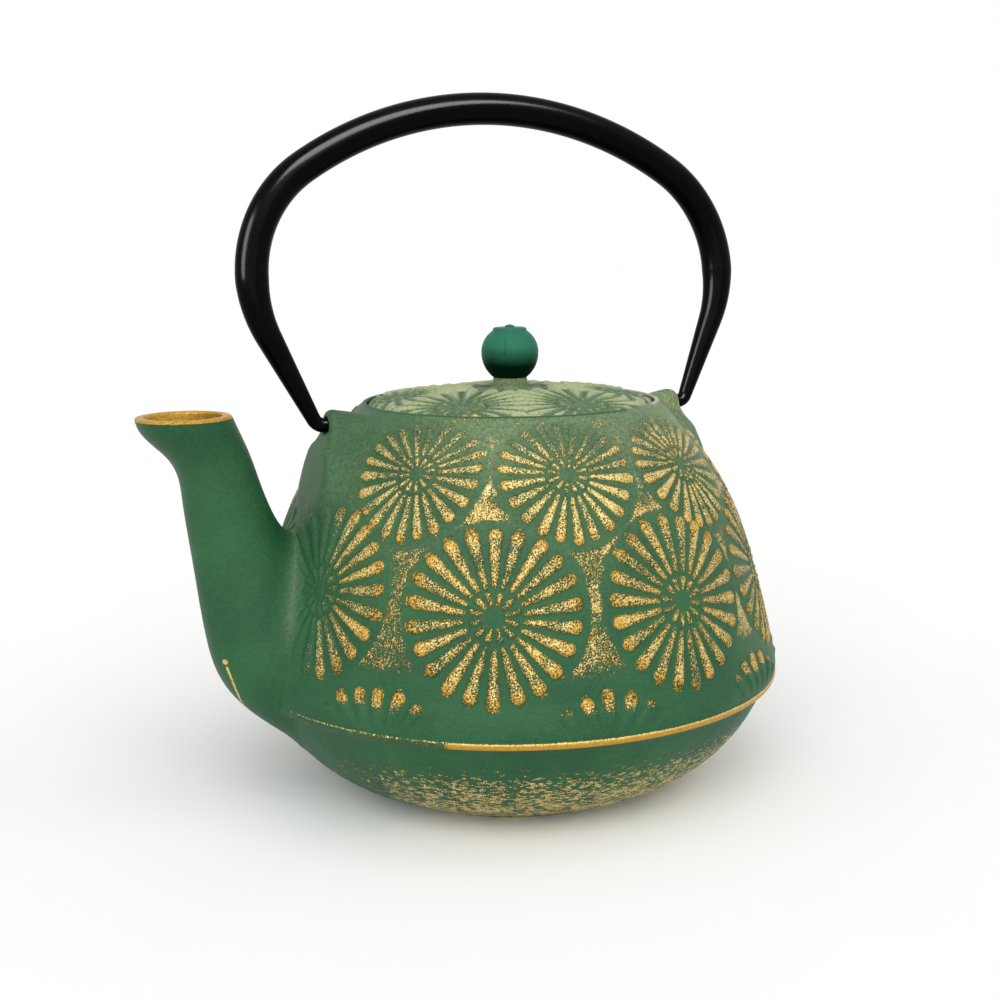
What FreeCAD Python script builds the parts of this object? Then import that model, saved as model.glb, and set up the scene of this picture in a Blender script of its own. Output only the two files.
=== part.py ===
import FreeCAD, Part
import math
import os

# Cast iron teapot. Millimetres, Z up, origin at the middle of the flat base, spout towards -X.

# Vessel. The other widths of the wall follow the flank's
foot_r = 46.0
foot_round = 1.4
bowl_in = 1.4
bowl_z = 32.0
bowl_curve_r = 52.8
lip_proud = 2.6
lip_z = 35.4
lip_round = 1.6
flare_swell = 0.65
flank_r = 81.2
flank_z = 46.0
flank_curve_r = 286.0
shoulder_in = 6.8
shoulder_z = 73.5
rim_z = 119.8
rim_w = 1.0
wall = 3.4
floor_t = 4.2

# Mouth: the lid drops on an upper ledge, the infuser flange into a step below it
lid_r = 44.6
lid_clear = 0.4
lid_drop = 0.4
lid_edge_t = 3.4
lid_ledge_w = 1.8
infuser_step_w = 2.6
infuser_step_t = 1.0
mouth_t = 3.8

# Lid
lid_rise = 3.5
lid_t = 4.0
lid_edge_round = 0.8
skirt_h = 7.0
skirt_t = 3.0
boss_r = 5.6
boss_taper = 0.4
boss_h = 3.8

# Knob and its fixing
ball_r = 8.9
ball_h = 14.4
ball_mid_h = 7.6
crown_r = 5.3
crown_h = 1.1
stud_r = 1.5
stud_proud = 0.8
stud_chamfer = 0.4
stud_clear = 0.3
washer_r = 4.5
washer_t = 0.8
nut_af = 5.5
nut_t = 2.4
stud_end = 1.0

# Spout stations from toe to lip: height, reach beyond the flank, length front to back, width across
spout_toe = (19.0, -9.2, 22.0, 20.0)
spout_heel = (35.5, 10.1, 36.0, 31.6)
spout_belly = (55.0, 18.2, 37.5, 30.0)
spout_waist = (77.0, 21.1, 30.5, 23.6)
spout_neck = (97.0, 23.4, 23.7, 22.0)
spout_throat = (109.5, 27.6, 23.8, 22.6)
spout_lip = (121.0, 35.8, 27.2, 27.0)
spout_wall = 2.8

# Lugs and bail
hinge_z = 115.6
lug_x = 61.0
lug_top_r = 4.4
lug_round = 1.2
lug_foot_w = 16.0
lug_drop = 15.0
lug_slope = 0.18
pin_r = 2.2
pin_clear = 0.3
pin_len = 6.5
pin_end_clear = 2.0
bail_gap = 0.5
bail_bend_r = 3.5
bail_r = 4.9
bail_wall = 1.0
bail_half_w = 80.0
bail_wide_h = 43.0
bail_top_h = 94.0
bail_crown_angle = 33.0
bail_lean = 7.4

# Infuser
sheet = 0.5
flange_t = 0.8
flange_clear = 0.4
basket_clear = 0.7
basket_depth = 48.0
skirt_clear = 0.6
collar_h = 8.5
mesh_lap = 5.0
base_ring_h = 5.0
base_ring_w = 4.5

# Sizes that follow from those above
bowl_r = flank_r - bowl_in
lip_r = flank_r + lip_proud
shoulder_r = flank_r - shoulder_in
recess_r = lid_r + lid_clear
step_r = recess_r - lid_ledge_w
mouth_r = step_r - infuser_step_w
rim_r = recess_r + rim_w
lid_seat_z = rim_z - lid_drop - lid_edge_t
lid_edge_z = lid_seat_z + lid_edge_t
step_z = lid_seat_z - infuser_step_t
flange_r = step_r - flange_clear
basket_r = mouth_r - basket_clear
mesh_r = basket_r - sheet
collar_r = mesh_r - sheet
skirt_r = collar_r - sheet - skirt_clear
basket_z = step_z - basket_depth
dome_z = lid_edge_z + lid_rise
ceiling_z = dome_z - lid_t
boss_z = dome_z + boss_h
crown_z = boss_z + ball_h
nut_z = ceiling_z - washer_t - nut_t

Z_AXIS = FreeCAD.Vector(0, 0, 1)
Y_AXIS = FreeCAD.Vector(0, 1, 0)
X_AXIS = FreeCAD.Vector(1, 0, 0)
ORIGIN = FreeCAD.Vector(0, 0, 0)


def at(x, z):
    return FreeCAD.Vector(x, 0, z)


def line(a, b):
    return Part.makeLine(at(*a), at(*b))


def bulge(a, b, sag):
    """Arc from a to b whose middle stands sag to the right of the chord."""
    chord = at(*b) - at(*a)
    side = FreeCAD.Vector(chord.z, 0, -chord.x).normalize()
    middle = (at(*a) + at(*b)) * 0.5 + side * sag
    return Part.Arc(at(*a), middle, at(*b)).toShape()


def curve(a, b, r):
    """Arc of radius r from a to b, standing out to the right of the chord."""
    half = (at(*b) - at(*a)).Length / 2
    return bulge(a, b, r - math.sqrt(r * r - half * half))


def curve_centre(a, b, r):
    chord = at(*b) - at(*a)
    side = FreeCAD.Vector(chord.z, 0, -chord.x).normalize()
    centre = (at(*a) + at(*b)) * 0.5 - side * math.sqrt(r * r - chord.Length**2 / 4)
    return centre.x, centre.z


def on_circle(centre, r, z):
    """Point of a circle at height z, on its side away from the axis."""
    return centre[0] + math.sqrt(r * r - (z - centre[1]) ** 2), z


def shrunk(point, centre, r, less):
    """Point moved by less towards the centre of the circle of radius r that it is on."""
    share = 1 - less / r
    return centre[0] + (point[0] - centre[0]) * share, centre[1] + (point[1] - centre[1]) * share


def upright(a, b):
    """Arc between a and b that is upright at the one further from the axis."""
    chord = at(*b) - at(*a)
    r = chord.Length**2 / (2 * abs(chord.x))
    return curve(a, b, r)


def turned(edges):
    """Solid turned about Z from a closed outline in the XZ plane."""
    return Part.Face(Part.Wire(edges)).revolve(ORIGIN, Z_AXIS, 360)


def disc(r, z, t):
    return Part.makeCylinder(r, t, FreeCAD.Vector(0, 0, z))


def ring(r_out, r_in, z, t):
    return disc(r_out, z, t).cut(disc(r_in, z, t))


# Vessel, outside and inside. The shoulder arc goes on in the direction in which the flank ends
foot_in = (foot_r - foot_round, 0)
foot_out = (foot_r + foot_round * 0.6, foot_round * 0.8)
bowl_top = (bowl_r, bowl_z)
lip_under = (lip_r - lip_round, lip_z - lip_round)
lip_top = (lip_r - lip_round * 0.2, lip_z + lip_round * 0.6)
flank_foot = (flank_r, flank_z)
shoulder = (shoulder_r, shoulder_z)
rim = (rim_r, rim_z)
bowl_centre = curve_centre(foot_out, bowl_top, bowl_curve_r)
flank_centre = curve_centre(flank_foot, shoulder, flank_curve_r)
lean_at_shoulder = math.asin((shoulder_z - flank_centre[1]) / flank_curve_r)
rim_chord = at(*rim) - at(*shoulder)
rim_lean = math.atan2(-rim_chord.x, rim_chord.z)
shoulder_curve_r = rim_chord.Length / (2 * math.sin(rim_lean - lean_at_shoulder))
shoulder_centre = curve_centre(shoulder, rim, shoulder_curve_r)
vessel_outside = turned([
    line((0, 0), foot_in),
    bulge(foot_in, foot_out, foot_round * 0.3),
    curve(foot_out, bowl_top, bowl_curve_r),
    line(bowl_top, lip_under),
    bulge(lip_under, lip_top, lip_round * 0.5),
    bulge(lip_top, flank_foot, flare_swell),
    curve(flank_foot, shoulder, flank_curve_r),
    curve(shoulder, rim, shoulder_curve_r),
    line(rim, (0, rim_z)),
    line((0, rim_z), (0, 0)),
])

mouth_z = step_z - mouth_t
inner_foot = on_circle(bowl_centre, bowl_curve_r - wall, floor_t)
inner_bowl = shrunk(bowl_top, bowl_centre, bowl_curve_r, wall)
inner_flank = shrunk(flank_foot, flank_centre, flank_curve_r, wall)
inner_shoulder = shrunk(shoulder, shoulder_centre, shoulder_curve_r, wall)
inner_rim = on_circle(shoulder_centre, shoulder_curve_r - wall, mouth_z)
vessel_inside = turned([
    line((0, floor_t), inner_foot),
    curve(inner_foot, inner_bowl, bowl_curve_r - wall),
    line(inner_bowl, inner_flank),
    curve(inner_flank, inner_shoulder, flank_curve_r - wall),
    curve(inner_shoulder, inner_rim, shoulder_curve_r - wall),
    line(inner_rim, (mouth_r, mouth_z)),
    line((mouth_r, mouth_z), (mouth_r, step_z)),
    line((mouth_r, step_z), (step_r, step_z)),
    line((step_r, step_z), (step_r, lid_seat_z)),
    line((step_r, lid_seat_z), (recess_r, lid_seat_z)),
    line((recess_r, lid_seat_z), (recess_r, rim_z + 1)),
    line((recess_r, rim_z + 1), (0, rim_z + 1)),
    line((0, rim_z + 1), (0, floor_t)),
])


# Spout, lofted through level ovals; its bore is the same loft drawn in by the wall
def oval(height, reach, length, width):
    circle = Part.Circle(ORIGIN, Z_AXIS, 1).toShape()
    shape = FreeCAD.Matrix()
    shape.scale(FreeCAD.Vector(length / 2, width / 2, 1))
    oval_edge = circle.transformGeometry(shape)
    oval_edge.translate(FreeCAD.Vector(length / 2 - flank_r - reach, 0, height))
    return Part.Wire([oval_edge])


def drawn_in(station):
    """Station of the bore. The heel's is raised by the wall, so that the bore has a floor."""
    height, reach, length, width = station
    if station is spout_heel:
        height = height + spout_wall
    return (height, reach - spout_wall, length - 2 * spout_wall, width - 2 * spout_wall)


stations = [spout_toe, spout_heel, spout_belly, spout_waist, spout_neck, spout_throat, spout_lip]
spout = Part.makeLoft([oval(*s) for s in stations], True)
bore = Part.makeLoft([oval(*drawn_in(s)) for s in stations[1:]], True)


# Lugs: arched sections from the outer face down into the shoulder
def arch(x):
    top_r = lug_top_r
    centre_z = hinge_z - (lug_x - x) * lug_slope
    half_foot = lug_foot_w / 2
    points = [
        FreeCAD.Vector(x, -half_foot, centre_z - lug_drop),
        FreeCAD.Vector(x, -top_r, centre_z),
        FreeCAD.Vector(x, 0, centre_z + top_r),
        FreeCAD.Vector(x, top_r, centre_z),
        FreeCAD.Vector(x, half_foot, centre_z - lug_drop),
    ]
    edges = [
        Part.makeLine(points[0], points[1]),
        Part.Arc(points[1], points[2], points[3]).toShape(),
        Part.makeLine(points[3], points[4]),
        Part.makeLine(points[4], points[0]),
    ]
    return Part.Wire(edges)


lug = Part.makeLoft([arch(lug_x), arch(mouth_r)], True, True)
face_edges = [e for e in lug.Edges if min(v.X for v in e.Vertexes) > lug_x - lug_round / 2]
face_edges = [e for e in face_edges if max(v.Z for v in e.Vertexes) > hinge_z - lug_round]
lug = lug.makeFillet(lug_round, face_edges)
hole_depth = pin_len + pin_end_clear
pin_hole = Part.makeCylinder(pin_r + pin_clear, hole_depth + bail_gap, at(lug_x - hole_depth, hinge_z), X_AXIS)
YZ_PLANE = (ORIGIN, X_AXIS)
lugs = [lug, lug.mirror(*YZ_PLANE)]
pin_holes = [pin_hole, pin_hole.mirror(*YZ_PLANE)]
pot_body = vessel_outside.fuse([spout] + lugs).cut([vessel_inside, bore] + pin_holes)

# Lid
skirt_in = skirt_r - skirt_t
skirt_z = lid_seat_z - skirt_h
edge_low = (lid_r, lid_edge_z - lid_edge_round)
edge_top = (lid_r - lid_edge_round, lid_edge_z)
dome_sag = lid_rise * 0.35
lid = turned([
    line((stud_r + stud_clear, ceiling_z), (skirt_in, ceiling_z)),
    line((skirt_in, ceiling_z), (skirt_in, skirt_z)),
    line((skirt_in, skirt_z), (skirt_r, skirt_z)),
    line((skirt_r, skirt_z), (skirt_r, lid_seat_z)),
    line((skirt_r, lid_seat_z), (lid_r, lid_seat_z)),
    line((lid_r, lid_seat_z), edge_low),
    bulge(edge_low, edge_top, lid_edge_round * 0.25),
    bulge(edge_top, (boss_r, dome_z), dome_sag),
    line((boss_r, dome_z), (boss_r - boss_taper, boss_z)),
    line((boss_r - boss_taper, boss_z), (stud_r + stud_clear, boss_z)),
    line((stud_r + stud_clear, boss_z), (stud_r + stud_clear, ceiling_z)),
])

# Knob: ball with a crown ring, stud through it and through the lid, washer and nut below
ball_foot = (boss_r - boss_taper, boss_z)
ball_mid = (ball_r, boss_z + ball_mid_h)
crown_foot = (crown_r, crown_z)
crown_side = (crown_r, crown_z + crown_h * 0.6)
crown_edge = (crown_r - crown_h * 0.4, crown_z + crown_h)
knob_ball = turned([
    line((stud_r, boss_z), ball_foot),
    upright(ball_foot, ball_mid),
    upright(ball_mid, crown_foot),
    line(crown_foot, crown_side),
    line(crown_side, crown_edge),
    line(crown_edge, (stud_r, crown_z + crown_h)),
    line((stud_r, crown_z + crown_h), (stud_r, boss_z)),
])
stud_top = crown_z + crown_h + stud_proud
stud_z = nut_z - stud_end
knob_stud = turned([
    line((0, stud_z), (stud_r, stud_z)),
    line((stud_r, stud_z), (stud_r, stud_top - stud_chamfer)),
    line((stud_r, stud_top - stud_chamfer), (stud_r - stud_chamfer, stud_top)),
    line((stud_r - stud_chamfer, stud_top), (0, stud_top)),
    line((0, stud_top), (0, stud_z)),
])
knob_washer = ring(washer_r, stud_r + stud_clear, ceiling_z - washer_t, washer_t)
corners = [FreeCAD.Vector(nut_af / math.sqrt(3), 0, nut_z)]
for i in range(1, 7):
    corner = FreeCAD.Vector(corners[0])
    corner.x = corners[0].x * math.cos(math.radians(60 * i))
    corner.y = corners[0].x * math.sin(math.radians(60 * i))
    corners.append(corner)
knob_nut = Part.Face(Part.makePolygon(corners)).extrude(Z_AXIS * nut_t).cut(disc(stud_r, nut_z, nut_t))

# Bail: crown arc, corner arcs, tapering legs, bent pins. Drawn upright, then leant about the pins
turn = math.radians(bail_crown_angle)
drop = bail_top_h - bail_wide_h
share = math.sin(turn) * math.cos(turn) - (1 - math.sin(turn)) * (1 - math.cos(turn))
crown_arc_r = (bail_half_w * math.cos(turn) - drop * (1 - math.sin(turn))) / share
corner_arc_r = (drop * math.sin(turn) - bail_half_w * (1 - math.cos(turn))) / share
crown_centre = at(0, hinge_z + bail_top_h - crown_arc_r)
corner_centre = at(bail_half_w - corner_arc_r, hinge_z + bail_wide_h)


def on_corner(angle):
    return corner_centre + at(math.cos(angle), math.sin(angle)) * corner_arc_r


# The leg runs off the corner arc towards a point on the pin's axis. That point moves out until the bend
# ends at the gap from the lug
bend_cut = bail_bend_r
for step in range(20):
    leg_corner = at(lug_x + bail_gap + bend_cut, hinge_z)
    to_corner = leg_corner - corner_centre
    toward = math.atan2(to_corner.z, to_corner.x)
    leg_turn = toward + math.acos(corner_arc_r / to_corner.Length)
    leg_start = on_corner(leg_turn)
    leg_along = (leg_corner - leg_start).normalize()
    bend_angle = math.acos(-leg_along.x)
    bend_cut = bail_bend_r * math.tan(bend_angle / 2)
bend_start = leg_corner - leg_along * bend_cut
bend_end = leg_corner - X_AXIS * bend_cut
bend_centre = bend_end + Z_AXIS * bail_bend_r


def bar(centre, r, along):
    return Part.Wire([Part.Circle(centre, along, r).toShape()])


def bent(start, r, along, centre, degrees):
    return Part.Face(bar(start, r, along)).revolve(centre, Y_AXIS, degrees)


def tube(r, tip_r):
    """Solid bail without its bends and pins, r thick and tapering to tip_r at the end of each leg."""
    crown_start = crown_centre + Z_AXIS * crown_arc_r
    crown_half = bent(crown_start, r, X_AXIS, crown_centre, bail_crown_angle)
    wide = on_corner(0)
    corner = bent(wide, r, Z_AXIS, corner_centre, bail_crown_angle - 90)
    arc_len = -leg_turn * corner_arc_r
    total = arc_len + (bend_start - leg_start).Length
    leg_rings = [bar(wide, r, Z_AXIS)]
    for part in (0.5, 1.0):
        angle = leg_turn * part
        ring_r = r + (tip_r - r) * arc_len * part / total
        leg_rings.append(bar(on_corner(angle), ring_r, at(-math.sin(angle), math.cos(angle))))
    bow = Part.makeLoft(leg_rings, True)
    leg = Part.makeLoft([leg_rings[-1], bar(bend_start, tip_r, leg_along)], True)
    half = [crown_half, corner, bow, leg]
    return half[0].fuse(half[1:] + [piece.mirror(*YZ_PLANE) for piece in half])


bend = bent(bend_start, pin_r, leg_along, bend_centre, math.degrees(bend_angle))
pin_reach = bend_end.x - lug_x + pin_len
pin = Part.makeCylinder(pin_r, pin_reach, bend_end - X_AXIS * pin_reach, X_AXIS)
tips = [bend, pin, bend.mirror(*YZ_PLANE), pin.mirror(*YZ_PLANE)]
handle = tube(bail_r, pin_r).fuse(tips).removeSplitter()
handle = handle.cut(tube(bail_r - bail_wall, pin_r - bail_wall).removeSplitter())
handle.rotate(at(0, hinge_z), X_AXIS, -bail_lean)

# Infuser: flange with collar, mesh wall and floor, base ring that holds them
infuser_rim = ring(flange_r, collar_r - sheet, step_z, flange_t)
infuser_rim = infuser_rim.fuse(ring(collar_r, collar_r - sheet, step_z - collar_h, collar_h)).removeSplitter()
mesh_top = step_z - collar_h + mesh_lap
infuser_wall = ring(mesh_r, mesh_r - sheet, basket_z, mesh_top - basket_z)
infuser_floor = disc(collar_r, basket_z, sheet)
infuser_base_ring = ring(basket_r, basket_r - base_ring_w, basket_z - sheet, sheet)
infuser_base_ring = infuser_base_ring.fuse(ring(basket_r, mesh_r, basket_z, base_ring_h)).removeSplitter()

nodes = {
    "pot_body": pot_body,
    "lid": lid,
    "knob_ball": knob_ball,
    "knob_stud": knob_stud,
    "knob_washer": knob_washer,
    "knob_nut": knob_nut,
    "handle": handle,
    "infuser_rim": infuser_rim,
    "infuser_wall": infuser_wall,
    "infuser_floor": infuser_floor,
    "infuser_base_ring": infuser_base_ring,
}
os.makedirs("parts", exist_ok=True)
for name, solid in nodes.items():
    solid.exportStep("parts/" + name + ".step")
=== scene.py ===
import functools
import math

import bpy
import numpy as np
from mathutils import Matrix, Quaternion, Vector


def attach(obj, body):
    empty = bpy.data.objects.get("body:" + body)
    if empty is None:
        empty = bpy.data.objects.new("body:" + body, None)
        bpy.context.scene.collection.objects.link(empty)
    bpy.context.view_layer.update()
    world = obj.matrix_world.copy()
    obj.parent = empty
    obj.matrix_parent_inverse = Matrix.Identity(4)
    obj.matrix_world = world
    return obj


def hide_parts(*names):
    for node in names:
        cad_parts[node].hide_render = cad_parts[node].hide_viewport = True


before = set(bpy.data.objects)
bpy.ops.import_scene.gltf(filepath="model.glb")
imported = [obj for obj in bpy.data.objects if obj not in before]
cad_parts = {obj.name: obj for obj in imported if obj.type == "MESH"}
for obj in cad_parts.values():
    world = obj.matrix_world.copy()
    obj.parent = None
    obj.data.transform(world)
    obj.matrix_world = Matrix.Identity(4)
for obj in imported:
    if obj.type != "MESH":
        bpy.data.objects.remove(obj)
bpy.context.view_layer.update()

bl_info = {
    "name": "Cast iron teapot",
    "version": (1, 0, 0),
    "blender": (4, 5, 0),
    "location": "View3D > Sidebar > Teapot",
    "description": "Builds a green lacquered cast iron teapot with gilt chrysanthemum relief",
    "category": "Object",
}

MM = 0.001


def linear(hex_colour):
    """Linear red, green and blue of an sRGB hex colour."""
    parts = [int(hex_colour[i : i + 2], 16) / 255 for i in (1, 3, 5)]
    return [p / 12.92 if p <= 0.04045 else ((p + 0.055) / 1.055) ** 2.4 for p in parts]


# Sizes in millimetres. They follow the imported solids, with a slightly fuller bowl and lip

# Vessel from the base's edge to the rim: where each stretch ends (radius, height), how far its middle
# bows out, and the spacing of the rows of points along it
OUTLINE = (
    ((44.6, 0.0), 0.0, 5.0),
    ((46.84, 1.12), 0.42, 0.4),
    ((79.9, 32.0), 5.35, 0.65),
    ((82.1, 33.7), 0.0, 0.3),
    ((83.3, 35.9), 0.6, 0.2),
    ((81.2, 46.0), 0.7, 0.45),
    ((74.4, 73.5), 0.351, 0.5),
    ((63.26, 98.36), 0.879, 0.5),
    ((46.15, 119.55), 0.879, 0.35),
    ((45.85, 119.8), 0.06, 0.2),
)
# Inside of the vessel, from the floor up through the mouth's two ledges
INSIDE = (
    ((45.3, 4.2), 0.0, 5.0),
    ((76.64, 33.25), 4.86, 1.5),
    ((77.86, 45.35), 0.0, 2.0),
    ((71.14, 72.52), 0.347, 2.0),
    ((49.57, 111.2), 2.41, 2.0),
    ((40.6, 111.2), 0.0, 2.0),
    ((40.6, 115.0), 0.0, 2.0),
    ((43.2, 115.0), 0.0, 2.0),
    ((43.2, 116.0), 0.0, 1.0),
    ((45.0, 116.0), 0.0, 1.0),
    ((45.0, 119.6), 0.0, 1.0),
    ((45.2, 119.85), 0.0, 0.2),
    ((45.2, 121.0), 0.0, 1.0),
)
RIM_Z = 119.8
BEAD_LOW, BEAD_HIGH, WIDEST_R = 33.7, 35.9, 83.65

# Spout stations from toe to lip: height, reach from the axis, length front to back, width across
SPOUT = np.array((
    (19.0, 72.0, 22.0, 20.0),
    (35.5, 91.3, 36.0, 31.6),
    (55.0, 99.4, 37.5, 30.0),
    (77.0, 102.3, 30.5, 23.6),
    (97.0, 104.6, 23.7, 22.0),
    (109.5, 108.8, 23.8, 22.6),
    (113.5, 112.8, 26.2, 24.2),
    (117.6, 116.0, 27.6, 26.2),
    (121.0, 117.0, 27.2, 27.0),
))
SPOUT_WALL = 2.8
# Gilding that ran down the spout: its drop, then the trail
DRIP = np.array((
    (-96.3, -6.9, 49.5),
    (-95.8, -7.0, 47.7),
    (-94.5, -7.0, 43.9),
    (-92.6, -5.8, 39.0),
    (-88.9, -1.4, 32.9),
))
LIP_ROUND = 0.8

# Lugs and bail
HINGE_Z = 115.6
LUG_X = 61.0
LUG_TOP_R, LUG_FOOT_R, LUG_DROP, LUG_SLOPE = 4.9, 9.0, 15.0, 0.18
# The outer face leans out for a stretch below the hinge. Its edge is rounded less on the spout's side
LUG_LEAN, LUG_LEAN_FROM, LUG_LEAN_RUN = 0.5, 1.5, 5.0
LUG_ROUND = {-1: 3.0, 1: 5.0}
LUG_HEART = np.array((47.0, 0.0, 105.0))
PIN_R, PIN_HOLE_R, PIN_HOLE_DEPTH, PIN_LEN = 2.2, 2.5, 8.5, 6.5
BAIL_R, BAIL_BEND_R, BAIL_GAP, BAIL_LEAN = 4.9, 3.5, 0.5, 7.4
BAIL_HALF_W, BAIL_WIDE_H, BAIL_TOP_H, BAIL_CROWN = 80.0, 43.0, 94.0, math.radians(33.0)

# Lid, knob and infuser
LID_R, LID_EDGE_Z, LID_SEAT_Z, DOME_Z, DOME_SAG = 44.6, 119.4, 116.0, 122.9, 1.225
CEILING_Z, SKIRT_Z, SKIRT_R, SKIRT_IN = 118.9, 109.0, 37.8, 34.8
BOSS_R, BOSS_TOP_R, BOSS_Z, BORE_R = 5.6, 5.2, 126.7, 1.8
BALL_R, BALL_MID_H, CROWN_R, CROWN_Z, CROWN_H = 8.9, 7.6, 5.3, 141.1, 1.1
STUD_R, STUD_LOW, STUD_HIGH = 1.5, 114.7, 143.0
WASHER_R, WASHER_T, NUT_AF, NUT_Z, NUT_T = 4.5, 0.8, 5.5, 115.7, 2.4
FLANGE_R, STEP_Z, FLANGE_T, COLLAR_R, COLLAR_H, SHEET = 42.8, 115.0, 0.8, 38.9, 8.5, 0.5
MESH_R, MESH_LOW, MESH_HIGH, BASE_R, BASE_W, BASE_H = 39.4, 67.0, 111.5, 39.9, 4.5, 5.0


def panel_length(name, description, size):
    """A length in the panel, from a size in millimetres."""
    return bpy.props.FloatProperty(
        name=name, description=description, default=size * MM, unit="LENGTH", precision=5)


def panel_colour(name, description, hex_colour):
    """A colour in the panel."""
    return bpy.props.FloatVectorProperty(
        name=name, description=description, subtype="COLOR", default=linear(hex_colour), min=0, max=1)


class TeapotSizes(bpy.types.PropertyGroup):
    """Sizes of the finish and fine detail"""

    petal_rise: panel_length("Petal rise", "Height of the cast petals above the wall", 0.62)
    lid_petal_rise: panel_length("Lid petal rise", "Height of the cast petals on the lid", 1.4)
    petals: bpy.props.IntProperty(name="Petals", description="Long petals of each flower", default=22)
    inner_petals: bpy.props.IntProperty(
        name="Inner petals", description="Short petals round each flower's middle", default=12)
    upper_flower_r: panel_length("Upper flowers", "Radius of the flowers round the rim", 19.5)
    lower_flower_r: panel_length("Lower flowers", "Radius of the flowers on the flank", 24.6)
    lid_flower_r: panel_length("Lid flowers", "Radius of the flowers on the lid", 25.0)
    spout_blend: panel_length("Spout blend", "Reach of the soft valley where the spout joins the wall", 9.0)
    lug_blend: panel_length("Lug blend", "Reach of the soft valley round each bail lug", 12.5)
    stipple: panel_length("Bowl stipple", "Roughness of the casting below the ridge", 0.2)
    wire: panel_length("Wire", "Diameter of the basket's wire", 0.25)
    wire_pitch: panel_length("Wire pitch", "Distance between the basket's wires", 1.4)


class TeapotColours(bpy.types.PropertyGroup):
    """Colours of the finishes and the stage"""

    lacquer: panel_colour("Lacquer", "Green of the vessel and lid", "#2B5A36")
    lacquer_deep: panel_colour("Deep lacquer", "Green where the lacquer lies thick", "#1C482E")
    # Partly dust, partly painted light: the same pale colour paints a sheen on the shoulder and highlights on
    # the lid's petals
    dust_and_sheen: panel_colour("Dust", "Pale powder left on the ground between the petals", "#A3AC82")
    gilt: panel_colour("Gilt", "Bronze powder on the petals and the ridge", "#B08322")
    gilt_pale: panel_colour("Pale gilt", "Thin bronze powder on the bowl and the edges", "#D8C582")
    gilt_dark: panel_colour("Dark gilt", "Bronze powder over deep pits", "#463B0A")
    bare_rim: panel_colour("Bare rim", "Iron that shows where the rim is worn", "#B7AAA0")
    knob: panel_colour("Knob", "Green of the turned knob", "#2C6A52")
    # Painted shade: the dark green painted on the knob's lower half
    knob_painted_shade: panel_colour("Knob, lower half", "Darker green under the knob's middle", "#021A0D")
    bail: panel_colour("Bail", "Black of the bail", "#030303")
    # Also painted shade on the lid's side and the rim's inner wall
    enamel_and_gap_shade: panel_colour("Enamel", "Enamel inside the vessel", "#1B1917")
    steel: panel_colour("Steel", "Stainless steel of the basket and fixings", "#C9C7C2")
    floor: panel_colour("Floor", "Pale sheet that the teapot stands on", "#FBFBFA")


# Shapes. All points are in millimetres until an object is made of them


def ramp(value, low, high):
    """0 at low, 1 at high, with a soft start and end. low may be the larger one."""
    part = np.clip((value - low) / (high - low), 0, 1)
    return part * part * (3 - 2 * part)


def grain(points, size, seed):
    """Smooth noise from -1 to 1 with lumps about size across."""
    cell = points / size
    low = np.floor(cell).astype(np.int64)
    part = cell - low
    part = part * part * (3 - 2 * part)
    total = np.zeros(len(points))
    for corner in np.ndindex(2, 2, 2):
        at = low + corner
        mixed = (at[:, 0] * 73856093) ^ (at[:, 1] * 19349663) ^ (at[:, 2] * 83492791) ^ (seed * 7919)
        mixed = (mixed ^ (mixed >> 13)) * 1274126177
        mixed = (mixed ^ (mixed >> 16)) & 0xFFFF
        weight = np.prod(np.where(corner, part, 1 - part), axis=1)
        total += weight * (mixed / 32767.5 - 1)
    return total


def arc(start, end, sag, pitch):
    """Points after start of the arc to end, whose middle stands sag to the right of the chord."""
    start, end = np.array(start, float), np.array(end, float)
    chord = end - start
    length = np.hypot(*chord)
    side = np.array((chord[1], -chord[0])) / length
    count = max(1, round(length / pitch))
    share = np.linspace(0, 1, count + 1)[1:, None]
    if sag == 0:
        return start + chord * share
    half = 2 * math.atan(2 * abs(sag) / length)
    radius = length / 2 / math.sin(half)
    angle = half * (2 * share - 1)
    along = (start + end) / 2 + chord / length * radius * np.sin(angle)
    return along + side * (sag - math.copysign(radius, sag) * (1 - np.cos(angle)))


def outline_points(stretches, start):
    """Points of an outline in the plane of radius and height."""
    rows = [np.array((start,), float)]
    for end, sag, pitch in stretches:
        rows.append(arc(rows[-1][-1], end, sag, pitch))
    return np.concatenate(rows)


def run_along(points):
    """Distance along a run of points in the plane, from its start to each of them."""
    return np.concatenate(([0], np.cumsum(np.hypot(*np.diff(points, axis=0).T))))


def round_angles(count):
    """Angles of points spread evenly round a circle, starting on the spout's side."""
    return np.linspace(-math.pi, math.pi, count, endpoint=False)


def turned(outline, around):
    """Rings of an outline turned about Z."""
    angle = round_angles(around)
    ring = np.stack((np.cos(angle), np.sin(angle), np.zeros(around)), axis=1)
    rings = outline[:, None, :1] * ring
    rings[:, :, 2] = outline[:, None, 1]
    return rings


def spline(knots, values, at):
    """Natural cubic curve through the columns of values."""
    step = np.diff(knots)
    count = len(knots)
    system, right = np.eye(count), np.zeros_like(values)
    for i in range(1, count - 1):
        system[i, i - 1 : i + 2] = step[i - 1], 2 * (step[i - 1] + step[i]), step[i]
        right[i] = 6 * ((values[i + 1] - values[i]) / step[i] - (values[i] - values[i - 1]) / step[i - 1])
    bend = np.linalg.solve(system, right)
    i = np.clip(np.searchsorted(knots, at) - 1, 0, count - 2)
    h = step[i][:, None]
    a = (knots[i + 1] - at)[:, None] / h
    b = 1 - a
    curved = ((a**3 - a) * bend[i] + (b**3 - b) * bend[i + 1]) * h * h / 6
    return a * values[i] + b * values[i + 1] + curved


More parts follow.
